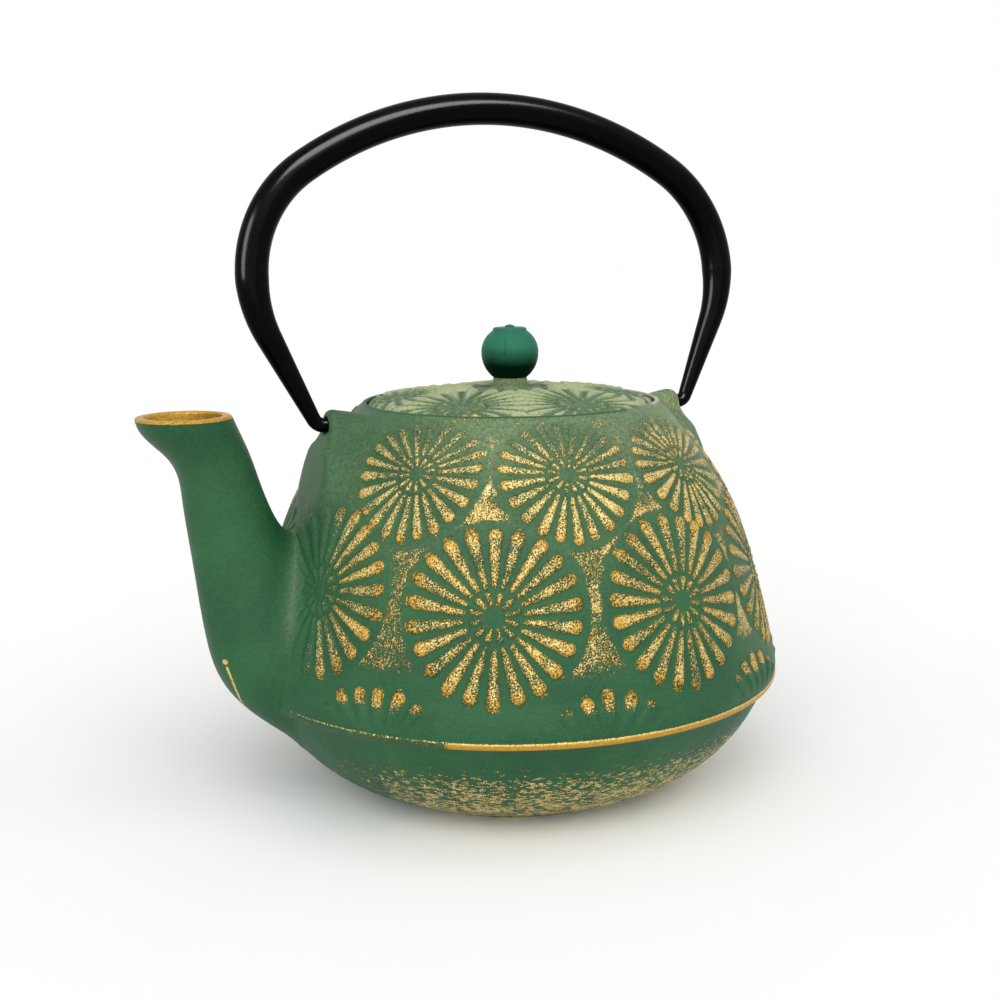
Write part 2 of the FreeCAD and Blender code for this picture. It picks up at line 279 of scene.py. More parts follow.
def skin(rings, looped=False):
    """Points and faces of a closed surface over rings, capped at both ends or looped into itself."""
    count, around = rings.shape[:2]
    points = rings.reshape(-1, 3)
    index = np.arange(count * around).reshape(count, around)
    if looped:
        index = np.concatenate((index, index[:1]))
    beside = np.roll(index, -1, axis=1)
    quads = np.stack((index[:-1], beside[:-1], beside[1:], index[1:]), axis=-1).reshape(-1, 4)
    if looped:
        return points, quads
    middles = np.stack((rings[0].mean(axis=0), rings[-1].mean(axis=0)))
    low = np.stack((np.full(around, len(points)), beside[0], index[0]), axis=-1)
    high = np.stack((np.full(around, len(points) + 1), index[-1], beside[-1]), axis=-1)
    return np.concatenate((points, middles)), quads, np.concatenate((low, high))


def mesh_piece(name, points, *faces):
    """Object with these points and groups of faces, each group with one number of corners."""
    mesh = bpy.data.meshes.new(name)
    mesh.vertices.add(len(points))
    mesh.vertices.foreach_set("co", (points * MM).astype(np.float32).ravel())
    corners = np.concatenate([group.ravel() for group in faces]).astype(np.int32)
    counts = np.concatenate([np.full(len(group), group.shape[1]) for group in faces])
    starts = np.concatenate(([0], np.cumsum(counts)[:-1])).astype(np.int32)
    mesh.loops.add(len(corners))
    mesh.loops.foreach_set("vertex_index", corners)
    mesh.polygons.add(len(starts))
    mesh.polygons.foreach_set("loop_start", starts)
    mesh.update(calc_edges=True)
    mesh.validate()
    piece = bpy.data.objects.new(name, mesh)
    bpy.context.scene.collection.objects.link(piece)
    return piece


def turned_piece(name, start, stretches, around):
    """A piece with a bore, turned from the closed outline that begins at start."""
    return mesh_piece(name, *skin(turned(outline_points(stretches, start), around), looped=True))


def combine(base, other, operation):
    """Joins other to base, or cuts it away, and removes other."""
    step = base.modifiers.new(operation, "BOOLEAN")
    step.operation = operation
    step.solver = "MANIFOLD"
    step.object = other
    depsgraph = bpy.context.evaluated_depsgraph_get()
    made = bpy.data.meshes.new_from_object(base.evaluated_get(depsgraph), depsgraph=depsgraph)
    if len(made.vertices) in (0, len(base.data.vertices)):
        raise RuntimeError(f"{operation} of {base.name} and {other.name} made nothing")
    base.modifiers.remove(step)
    before = base.data
    base.data = made
    bpy.data.meshes.remove(before)
    bpy.data.meshes.remove(other.data)
    return base


def points_of(piece):
    """A piece's points in millimetres."""
    found = np.empty(len(piece.data.vertices) * 3, np.float32)
    piece.data.vertices.foreach_get("co", found)
    return found.reshape(-1, 3).astype(float) / MM


def set_points(piece, points):
    """Moves a piece's points to these places."""
    piece.data.vertices.foreach_set("co", (points * MM).astype(np.float32).ravel())
    piece.data.update()


def paint(piece, **masks):
    """Keeps a number for each point under a name that the materials read."""
    for name, values in masks.items():
        made = piece.data.attributes.new(name, "FLOAT", "POINT")
        made.data.foreach_set("value", np.clip(values, 0, 1.5).astype(np.float32))


def line_faces(piece, chosen):
    """Gives the second material to the faces whose points are all chosen."""
    starts = np.empty(len(piece.data.polygons), np.int32)
    piece.data.polygons.foreach_get("loop_start", starts)
    corners = np.empty(len(piece.data.loops), np.int32)
    piece.data.loops.foreach_get("vertex_index", corners)
    lined = np.minimum.reduceat(chosen[corners].astype(np.int32), starts)
    piece.data.polygons.foreach_set("material_index", lined)


def finish_piece(piece, body, node, slot, *materials, sharp=50):
    """Smooths a piece's shading, sets its materials and body, and hides the CAD part named node. slot is not
    used.
    """
    piece.data.materials.clear()
    for material in materials:
        piece.data.materials.append(material)
    piece.data.shade_smooth()
    piece.data.set_sharp_from_angle(angle=math.radians(sharp))
    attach(piece, body)
    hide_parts(node)


# Ornament


def capsule(along, across, start, start_r, end, end_r):
    """Distance outside a drop shape: the hull of a small circle at start and a larger one at end."""
    length = end - start
    lean = (start_r - end_r) / length
    level = math.sqrt(1 - lean * lean)
    x, y = np.abs(across), along - start
    where = y * level - x * lean
    side = x * level + y * lean - start_r
    distance = np.where(where < 0, np.hypot(x, y) - start_r, side)
    return np.where(where > level * length, np.hypot(x, y - length) - end_r, distance)


# Petals of a flower of radius DRAWN_R. Where each ring of petals starts, and where the inner one ends, are
# shares of the flower's radius
DRAWN_R = 24.6
PETAL_START, PETAL_ROOT_R, PETAL_TIP_R = 0.355, 0.7, 1.95
INNER_START, INNER_ROOT_R, INNER_END, INNER_TIP_R = 0.14, 0.45, 0.262, 0.85
# Differences between petals: sideways bend and reach in millimetres, and share of the powder that is left
PETAL_BEND, PETAL_REACH, PETAL_WEAR = (-0.25, 0.25), (-0.5, 0.4), (0.84, 1.06)


def flower(x, y, radius, sizes, chance, full=1.0, crown=0.75):
    """A chrysanthemum round the origin; full widens its petals, and they rise for crown from their edges.

    Gives the relief from 0 to 1, the distance outside the nearest petal, how near its tip that is, and how
    much of its powder is left.
    """
    out = np.hypot(x, y)
    angle = np.arctan2(y, x) + math.pi
    relief, tip, left = np.zeros((3, len(x)))
    nearest = np.full(len(x), 9.0)
    scale = radius / DRAWN_R
    root_r, tip_r = PETAL_ROOT_R * scale * full, PETAL_TIP_R * scale * full
    inner = INNER_START * radius, INNER_ROOT_R * scale, INNER_END * radius, INNER_TIP_R * scale
    rings = (
        (sizes.petals, PETAL_START * radius, root_r, radius - tip_r, tip_r),
        (sizes.inner_petals, *inner),
    )
    for count, start, start_r, end, end_r in rings:
        step = 2 * math.pi / count
        which = np.floor(angle / step).astype(int) % count
        off = angle % step - step / 2
        along, across = out * np.cos(off), out * np.sin(off)
        drawn = ramp(along, start, end)
        bend = chance.uniform(*PETAL_BEND, count)[which] * scale
        reach = chance.uniform(*PETAL_REACH, count)[which] * scale
        worn = chance.uniform(*PETAL_WEAR, count)[which]
        outside = capsule(along - reach * drawn, across - bend * drawn, start, start_r, end, end_r) / scale
        height = ramp(outside, 0.3, -crown) * (0.66 + 0.34 * drawn)
        trough = -0.22 * np.exp(-(((outside - 0.5) / 0.4) ** 2)) * (out < radius * 1.2)
        relief = np.where(outside < 0.25, np.maximum(relief, height), relief + trough)
        closer = outside < nearest
        tip = np.where(closer, ramp(along, 0.8 * radius, 0.95 * radius), tip)
        left = np.where(closer, worn, left)
        nearest = np.minimum(nearest, outside)
    return relief, nearest, tip, left


# Rows of flowers on the wall: size, then the turn away from the back, on either side, and the height of each.
# The first row is squeezed towards the rim, and only the tips of the last row show above the ridge
FLOWER_ROWS = (
    ("upper_flower_r", ((18.7, 104.6), (59.7, 104.1), (100.6, 104.9), (142.8, 105.0))),
    ("lower_flower_r", ((0.0, 69.0), (36.8, 69.0), (77.0, 69.0), (119.8, 69.0), (163.3, 71.2))),
    ("lower_flower_r", ((18.0, 26.3), (55.5, 26.3), (97.4, 26.3), (143.2, 27.0))),
)
LID_FLOWERS, LID_FLOWER_OUT, LID_FLOWER_START = 6, 35.5, -140.0
# The lid's petals are wider and rounder. Its edge has most powder at one turn about Z
LID_FULL, LID_CROWN, LID_GILT_TURN = 1.3, 1.9, -138
KNOB_SEAM_TURN, KNOB_SEAM_DEPTH, KNOB_SEAM_W = -127, 0.4, 0.3
RIM_SQUEEZE_UP, RIM_SQUEEZE_DOWN = 0.88, 1.06

# Where gilding, dust and painted light fade on the wall: heights in millimetres, and turns in degrees away
# from the spout
SHOWN_TURN, SHOWN_TOP_TURN, SHOWN_TOP = (11, 25), (9, 19), (82, 92)
BETWEEN_LOW, BETWEEN_HIGH = (49, 56), (119, 112)
WORN_TOP = (117.0, 108.0)
# The painted sheen lies on the shoulder far from the spout
SHEEN_TURN, SHEEN_HEIGHT = (105, 150), (88, 108)
LOOSE_TURN, LOOSE_HEIGHT = (38, 58), (112, 102)
SPRINKLE_TURN, SPRINKLE_HEIGHT = (18, 40), (100, 110)
BEAD_TURN, BEAD_THIN_TURN, BEAD_EDGE_TURN = (50, 54), (25, 33), (9, 16)
BOWL_TURN, BOWL_THICK, BOWL_THICKEST = (10, 45), (31.5, 18.5), (20.0, 8.0)
VALLEY_LOW, VALLEY_HIGH = (50, 62), (104, 92)
# The ground grows paler towards the rim: partly dust, partly painted light on the lit shoulder
DUST_AND_PAINTED_LIGHT_HEIGHT, RIM_DUST_AND_PAINTED_LIGHT_HEIGHT, RIM_DUST_AND_PAINTED_LIGHT_TURN = (60, 100), (98, 113), (18, 48)
# A point this near a surface lies on it
ON_SKIN = 0.06


def smooth_min(a, b, reach):
    """The smaller of two distances, rounded off where they differ by less than reach."""
    share = np.clip(0.5 + 0.5 * (b - a) / reach, 0, 1)
    return b + (a - b) * share - reach * share * (1 - share)


class VesselForm:
    """Distances from the wall, the spout and the lugs, and places along the wall."""

    def __init__(self, sizes):
        self.rows = outline_points(OUTLINE, (0.0, 0.0))[6:]
        self.length = run_along(self.rows)
        self.lean = np.gradient(self.rows[:, 0]) / np.maximum(np.gradient(self.rows[:, 1]), 1e-3)
        self.sizes = sizes

    def wall(self, points):
        """Distance outside the turned wall."""
        z = points[:, 2]
        lean = np.interp(z, self.rows[:, 1], self.lean)
        gap = np.hypot(points[:, 0], points[:, 1]) - np.interp(z, self.rows[:, 1], self.rows[:, 0])
        return gap / np.sqrt(1 + lean * lean)

    def spout(self, points):
        """Distance outside the spout."""
        x, y, z = points.T
        reach, length, width = spline(SPOUT[:, 0], SPOUT[:, 1:], np.clip(z, SPOUT[0, 0], SPOUT[-1, 0])).T
        x = x - length / 2 + reach
        a, b = length / 2, width / 2
        level = np.sqrt((x / a) ** 2 + (y / b) ** 2) + 1e-9
        slope = np.sqrt((x / a**2) ** 2 + (y / b**2) ** 2) / level + 1e-9
        gap = (level - 1) / slope
        under = np.maximum(SPOUT[0, 0] - z, 0)
        return np.where(under > 0, np.hypot(np.maximum(gap, 0), under), gap)

    def lug(self, points):
        """Arched lugs with a rounded outer face."""
        x, y, z = np.abs(points[:, 0]), points[:, 1], points[:, 2]
        arch = capsule(HINGE_Z - (LUG_X - x) * LUG_SLOPE - z, y, 0, LUG_TOP_R, LUG_DROP, LUG_FOOT_R)
        face = x - LUG_X - LUG_LEAN * np.clip(HINGE_Z - LUG_LEAN_FROM - z, 0, LUG_LEAN_RUN)
        return -smooth_min(-arch, -face, np.where(points[:, 0] < 0, LUG_ROUND[-1], LUG_ROUND[1]))

    def body(self, points):
        """The wall with the lugs drawn softly out of it."""
        z = points[:, 2]
        reach = (0.03 + 0.37 * ramp(z, 120, 115) + 0.6 * ramp(z, 114, 107)) * self.sizes.lug_blend / MM
        return smooth_min(self.wall(points), self.lug(points), reach)

    def joined(self, points):
        """The body and the spout, with a soft valley between them."""
        z = points[:, 2]
        reach = (0.3 + 0.7 * ramp(z, 38, 54) + 0.1 * ramp(z, 78, 94)) * self.sizes.spout_blend / MM
        return smooth_min(self.body(points), self.spout(points), reach)

    def on_surface(self, surface, points, level, rounds):
        """Points moved to where the surface's distance is level."""
        points = points.copy()
        step = 0.05
        for _ in range(rounds):
            slope = np.empty_like(points)
            for axis in range(3):
                shift = np.zeros(3)
                shift[axis] = step
                slope[:, axis] = (surface(points + shift) - surface(points - shift)) / (2 * step)
            size = np.maximum((slope**2).sum(axis=1), 0.2)
            points -= slope * ((surface(points) - level) / size)[:, None]
        return points

    def eased(self, surface, piece, points, near, level, rounds):
        """Points with the near ones on the surface, and spread evenly so that no faces fold."""
        ends = np.empty(len(piece.data.edges) * 2, np.int32)
        piece.data.edges.foreach_get("vertices", ends)
        ends = ends.reshape(-1, 2)
        ends = ends[near[ends].any(axis=1)]
        ends = np.concatenate((ends, ends[:, ::-1]))
        count = np.maximum(np.bincount(ends[:, 0], minlength=len(points)), 1)[near, None]
        moved = points.copy()
        moved[near] = self.on_surface(surface, points[near], level, 6)
        for _ in range(rounds):
            around = [np.bincount(ends[:, 0], moved[ends[:, 1], k], len(points))[near] for k in range(3)]
            spread = 0.4 * moved[near] + 0.6 * np.stack(around, axis=1) / count
            moved[near] = self.on_surface(surface, spread, level, 1)
        moved[near] = self.on_surface(surface, moved[near], level, 2)
        return moved

    def raise_lugs(self, piece):
        """Draws the lugs out of the turned wall, along rays from the heart of each."""
        points = points_of(piece)
        wall = self.wall(points)
        near = (np.abs(points[:, 0]) > 30) & (points[:, 2] > 60) & (points[:, 2] < RIM_Z - 0.1)
        near &= (np.abs(wall) < 0.05) & (self.body(points) < wall - 1e-3)
        heart = LUG_HEART * np.where(points[near, :1] < 0, (-1, 1, 1), (1, 1, 1))
        ray = points[near] - heart
        low, high = np.full(len(ray), 0.5), np.full(len(ray), 4.0)
        for _ in range(30):
            share = (low + high) / 2
            inside = self.body(heart + ray * share[:, None]) < 0
            low, high = np.where(inside, share, low), np.where(inside, high, share)
        points[near] = heart + ray * low[:, None]
        set_points(piece, self.eased(self.body, piece, points, near, 0.0, 30))

    def along(self, z):
        """Distance up along the wall to a height."""
        return np.interp(z, self.rows[:, 1], self.length)

    def normal(self, points):
        """Direction out of the wall."""
        angle = np.arctan2(points[:, 1], points[:, 0])
        lean = np.interp(points[:, 2], self.rows[:, 1], self.lean)
        flat = 1 / np.sqrt(1 + lean * lean)
        return np.stack((np.cos(angle) * flat, np.sin(angle) * flat, -lean * flat), axis=1)

    def ornament(self, points):
        """Relief, distance outside the nearest petal, tips, powder left, and room beyond the flowers."""
        z = points[:, 2]
        out = np.hypot(points[:, 0], points[:, 1])
        angle = np.arctan2(points[:, 1], points[:, 0])
        place = self.along(z)
        relief, tip, left = np.zeros((3, len(z)))
        outside, room = np.full((2, len(z)), 50.0)
        chance = np.random.default_rng(11)
        for row, (size, flowers) in enumerate(FLOWER_ROWS):
            radius = getattr(self.sizes, size) / MM
            for degrees, height in flowers:
                for side in (-1, 1) if degrees else (1,):
                    turn = angle - side * math.radians(degrees)
                    x = out * ((turn + math.pi) % (2 * math.pi) - math.pi)
                    y = place - self.along(height)
                    if row == 0:
                        y = np.where(y > 0, y / RIM_SQUEEZE_UP, y / RIM_SQUEEZE_DOWN)
                    near = (np.abs(x) < radius + 5) & (np.abs(y) < radius + 5) & (z > BEAD_HIGH)
                    rise, beyond, end, worn = flower(x[near], y[near], radius, self.sizes, chance)
                    if row == 2:
                        rise, worn = rise * ramp(z[near], 36.5, 40.0), worn * ramp(z[near], 40.5, 45.0)
                    relief[near] = np.where(np.abs(rise) > np.abs(relief[near]), rise, relief[near])
                    tip[near] = np.where(beyond < outside[near], end, tip[near])
                    left[near] = np.where(beyond < outside[near], worn, left[near])
                    outside[near] = np.minimum(outside[near], beyond)
                    room[near] = np.minimum(room[near], np.hypot(x[near], y[near]) - radius)
        return relief, outside, tip, left, room


# Materials


def add(tree, kind, inputs=(), out=0, **settings):
    """Adds a node and gives one of its outputs. Inputs, by name or place, are values or other outputs."""
    node = tree.nodes.new("ShaderNode" + kind)
    for key, value in settings.items():
        setattr(node, key, value)
    for key, value in inputs.items() if isinstance(inputs, dict) else enumerate(inputs):
        if isinstance(value, bpy.types.NodeSocket):
            tree.links.new(value, node.inputs[key])
        else:
            node.inputs[key].default_value = value
    return node.outputs[out] if node.outputs else None


def new_material(name):
    """An empty material, add for its node tree, and the place on the piece for its textures."""
    material = bpy.data.materials.new(name)
    material.use_nodes = True
    material.node_tree.nodes.clear()
    put = functools.partial(add, material.node_tree)
    return material, put, put("TexCoord", out="Object")


def per_mm(size):
    """Scale of a noise texture whose lumps are size millimetres across."""
    return 1000.0 / size


# What makes a mix node mix colours
RGBA = {"out": 2, "data_type": "RGBA"}
# Masks that the vessel and the lid carry for their points
# One of them lays pale dust that also serves as painted sheen and painted highlights
MASKS = ("gilding", "pale", "petal", "dusty", "bare", "streaky")


def lacquered_iron(colours):
    """Sand-cast iron under sprayed matt lacquer, dry-brushed with bronze powder.

    The eye gets a soft green sheen over a slightly pitted skin, and metal specks that sit on whatever stands
    proud, close together on the petals and loose on the ground.
    """
    material, put, place = new_material("cast_iron_lacquered_dry_brushed_gilt")
    masks = [put("Attribute", out="Fac", attribute_name=name) for name in MASKS]
    gilding, pale, petal, dusty, bare, streaky = masks
    # Below the ridge the brush went round the pot, and left flecks three times as long as they are high
    flat = put("Mapping", {"Vector": place, "Scale": (0.34, 0.34, 1.0)})
    # Powder specks are 0.1 mm or less; they are drawn 0.4 mm apart to show at this distance. The cast skin is
    # pitted every 0.6 mm or so. Each noise has its place, size of lumps, detail and roughness
    noises = (
        (place, 0.4, 2.0, 0.6), (flat, 0.7, 1.5, 0.55), (place, 5.0, 2.0, 0.5), (place, 0.9, 3.0, 0.7),
        (place, 0.46, 2.0, 0.5), (place, 22.0, 3.0, 0.5), (place, 0.6, 2.0, 0.5),
    )
    specks, flecks, patches, tones, tints, broad, pitted = [
        put("TexNoise", {"Vector": where, "Scale": per_mm(size), "Detail": detail, "Roughness": rough})
        for where, size, detail, rough in noises]

    edge = put("MapRange", (petal, 0.45, 0.56))
    uneven = put("MapRange", (patches, 0.3, 0.7, 0.78, 1.1))
    cover = put("Math", (gilding, uneven), operation="MULTIPLY")
    laid = put("Mix", {0: streaky, 2: specks, 3: flecks}, data_type="FLOAT")
    lifted = put("Math", (cover, 0.62, laid), operation="MULTIPLY_ADD")
    mask = put("MapRange", (lifted, 0.76, 0.83))
    mask = put("Math", (mask, edge), operation="MULTIPLY")

    green = put("Math", (broad, tones), operation="ADD")
    green = put("MapRange", (green, 0.75, 1.25))
    green = put("Mix", {0: green, 6: (*colours.lacquer_deep, 1), 7: (*colours.lacquer, 1)}, **RGBA)
    # The pale colour laid on the ground is partly dust between the petals and partly painted light: a painted
    # sheen high on the shoulder and painted highlights on the lid's raised petals
    powder = put("MapRange", (tones, 0.3, 0.7, 0.25, 1.1))
    powder = put("Math", (powder, dusty), operation="MULTIPLY", use_clamp=True)
    ground = put("Mix", {0: powder, 6: green, 7: (*colours.dust_and_sheen, 1)}, **RGBA)
    hue = put("Math", (pale, 0.35, specks), operation="MULTIPLY_ADD")
    hue = put("MapRange", (hue, 0.56, 0.78))
    bronze = put("Mix", {0: hue, 6: (*colours.gilt, 1), 7: (*colours.gilt_pale, 1)}, **RGBA)
    pits = put("Math", (cover, 0.35, tints), operation="MULTIPLY_ADD")
    pits = put("Math", (pale, 0.15, pits), operation="MULTIPLY_ADD")
    pits = put("MapRange", (pits, 0.7, 0.82))
    bronze = put("Mix", {0: pits, 6: (*colours.gilt_dark, 1), 7: bronze}, **RGBA)
    colour = put("Mix", {0: mask, 6: ground, 7: bronze}, **RGBA)
    colour = put("Mix", {0: bare, 6: colour, 7: (*colours.bare_rim, 1)}, **RGBA)

    metal = put("Math", (mask, 0.35), operation="MULTIPLY")
    rough = put("MapRange", (tones, 0.3, 0.7, 0.42, 0.56))
    rough = put("Math", (mask, -0.08, rough), operation="MULTIPLY_ADD")
    height = put("Math", (mask, 0.4, pitted), operation="MULTIPLY_ADD")
    bump = put("Bump", {"Strength": 0.8, "Distance": 0.2 * MM, "Height": height})
    surface = put("BsdfPrincipled", {
        "Base Color": colour, "Metallic": metal, "Roughness": rough, "Normal": bump, "IOR": 1.28})
    put("OutputMaterial", (surface,))
    return material


def enamelled_iron_and_gap_shade(colours):
    """Vitreous enamelling fired on the iron inside the pot: dark, glassy, faintly rippled. Also laid as
    painted shade on the lid's side and the rim's inner wall.
    """
    material, put, place = new_material("cast_iron_enamelled_black")
    ripple = put("TexNoise", {"Vector": place, "Scale": per_mm(4.0), "Detail": 2.0})
    tint = put("MapRange", (ripple, 0.3, 0.7, 0.0, 0.5))
    colour = put("Mix", {0: tint, 6: (*colours.enamel_and_gap_shade, 1), 7: (*linear("#3A332D"), 1)}, **RGBA)
    bump = put("Bump", {"Strength": 0.2, "Distance": 0.2 * MM, "Height": ripple})
    surface = put("BsdfPrincipled", {"Base Color": colour, "Roughness": 0.22, "Normal": bump, "IOR": 1.52})
    put("OutputMaterial", (surface,))
    return material


def lacquered_knob(colours):
    """Turned iron under satin lacquer: smoother and deeper than the casting, with thin streaks round it, and
    painted shade on its lower half.
    """
    material, put, place = new_material("turned_iron_satin_lacquer")
    # Turning marks run round the knob every 0.7 mm; the noise is stretched flat to follow them
    flat = put("Mapping", {"Vector": place, "Scale": (0.15, 0.15, 1.0)})
    marks = put("TexNoise", {"Vector": flat, "Scale": per_mm(0.7), "Detail": 2.0})
    cloud = put("TexNoise", {"Vector": place, "Scale": per_mm(6.0), "Detail": 3.0})
    # Painted shade: the knob turns dark green below its middle, where little light reaches
    height = put("SeparateXYZ", (place,), out="Z")
    height = put("Math", (cloud, 2 * MM, height), operation="MULTIPLY_ADD")
    tone = put("MapRange", (height, (BOSS_Z + 5.0) * MM, (BOSS_Z + 11.0) * MM))
    colour = put("Mix", {0: tone, 6: (*colours.knob_painted_shade, 1), 7: (*colours.knob, 1)}, **RGBA)
    rough = put("MapRange", (marks, 0.3, 0.7, 0.34, 0.44))
    bump = put("Bump", {"Strength": 0.12, "Distance": 0.05 * MM, "Height": marks})
    surface = put("BsdfPrincipled", {"Base Color": colour, "Roughness": rough, "Normal": bump, "IOR": 1.12})
    put("OutputMaterial", (surface,))
    return material


def lacquered_bail(colours):
    """Steel tube under satin black lacquer: near black, with long soft lights and fine orange peel."""
    material, put, place = new_material("steel_tube_satin_black_lacquer")
    peel = put("TexNoise", {"Vector": place, "Scale": per_mm(1.2), "Detail": 2.0})
    cloud = put("TexNoise", {"Vector": place, "Scale": per_mm(14.0), "Detail": 3.0})
    tone = put("MapRange", (cloud, 0.35, 0.7, 0.0, 0.5))
    colour = put("Mix", {0: tone, 6: (*colours.bail, 1), 7: (*linear("#070706"), 1)}, **RGBA)
    rough = put("MapRange", (cloud, 0.3, 0.7, 0.16, 0.2))
    bump = put("Bump", {"Strength": 0.1, "Distance": 0.05 * MM, "Height": peel})
    surface = put("BsdfPrincipled", {"Base Color": colour, "Roughness": rough, "Normal": bump, "IOR": 1.1})
    put("OutputMaterial", (surface,))
    return material


def stainless(colours):
    """Pressed and drawn stainless steel: pale grey metal, brushed round the basket."""
    material, put, place = new_material("stainless_steel_brushed")
    flat = put("Mapping", {"Vector": place, "Scale": (0.08, 0.08, 1.0)})
    # Brush lines are finer than 0.1 mm; they are drawn 0.35 mm apart to show
    brushed = put("TexNoise", {"Vector": flat, "Scale": per_mm(0.35), "Detail": 3.0})
    rough = put("MapRange", (brushed, 0.3, 0.7, 0.22, 0.4))
    tone = put("MapRange", (brushed, 0.3, 0.7, 0.0, 0.3))
    colour = put("Mix", {0: tone, 6: (*colours.steel, 1), 7: (*linear("#9C9A96"), 1)}, **RGBA)
    bump = put("Bump", {"Strength": 0.1, "Distance": 0.03 * MM, "Height": brushed})
    surface = put("BsdfPrincipled", {
        "Base Color": colour, "Metallic": 1.0, "Roughness": rough, "Normal": bump})
    put("OutputMaterial", (surface,))
    return material


def shared(maker, colours):
    """The material that maker gives, made once."""
    key = "made_by_" + maker.__name__
    for material in bpy.data.materials:
        if material.get(key):
            return material
    material = maker(colours)
    material[key] = True
    return material


def cast_iron(colours):
    """The casting's two materials: lacquer outside, and the dark lining inside, which is also painted shade
    on the lid's side.
    """
    return shared(lacquered_iron, colours), shared(enamelled_iron_and_gap_shade, colours)


# Pieces


def spout_rings(stations, heights, inset):
    """Level ovals through the stations; inset draws each ring in."""
    reach, length, width = spline(stations[:, 0], stations[:, 1:], heights).T
    angle = round_angles(200)
    x = (length / 2 - reach)[:, None] + (length / 2 - inset)[:, None] * np.cos(angle)
    y = (width / 2 - inset)[:, None] * np.sin(angle)
    z = np.broadcast_to(heights[:, None], x.shape)
    return np.stack((x, y, z), axis=-1)


def spout_solids():
    """Outside of the spout with a rounded lip, and its bore with a flared mouth."""
    top = SPOUT[-1, 0]
    level = np.arange(SPOUT[0, 0], top - LIP_ROUND, 0.5)
    turn = np.linspace(0, math.pi / 2, 6)
    heights = np.concatenate((level, top - LIP_ROUND + LIP_ROUND * np.sin(turn)))
    inset = np.concatenate((np.zeros(len(level)), LIP_ROUND * (1 - np.cos(turn))))
    outside = mesh_piece("spout", *skin(spout_rings(SPOUT, heights, inset)))
    stations = SPOUT[1:] - (0, SPOUT_WALL, 2 * SPOUT_WALL, 2 * SPOUT_WALL)
    stations[0, 0] += SPOUT_WALL
    level = np.arange(stations[0, 0], top - LIP_ROUND, 1.2)
    heights = np.concatenate((level, top - LIP_ROUND + LIP_ROUND * np.sin(turn), (top + 1,)))
    flare = np.concatenate((np.zeros(len(level)), -LIP_ROUND * (1 - np.cos(turn)), (-LIP_ROUND,)))
    rings = spout_rings(stations, np.minimum(heights, top), flare)
    rings[-1, :, 2] = top + 1
    return outside, mesh_piece("spout_bore", *skin(rings))


def pin_hole(side):
    """Blind hole of one lug, with a chamfer at its mouth."""
    angle = round_angles(64)
    x = np.array((LUG_X - PIN_HOLE_DEPTH, LUG_X - 0.4, LUG_X + 0.05, LUG_X + 1))
    radius = np.array((PIN_HOLE_R, PIN_HOLE_R, PIN_HOLE_R + 0.4, PIN_HOLE_R + 0.4))
    y, z = radius[:, None] * np.cos(angle), HINGE_Z + radius[:, None] * np.sin(angle)
    rings = np.stack((np.broadcast_to(side * x[:, None], y.shape), y, z), axis=-1)
    return mesh_piece("pin_hole", *skin(rings if side > 0 else rings[:, ::-1]))


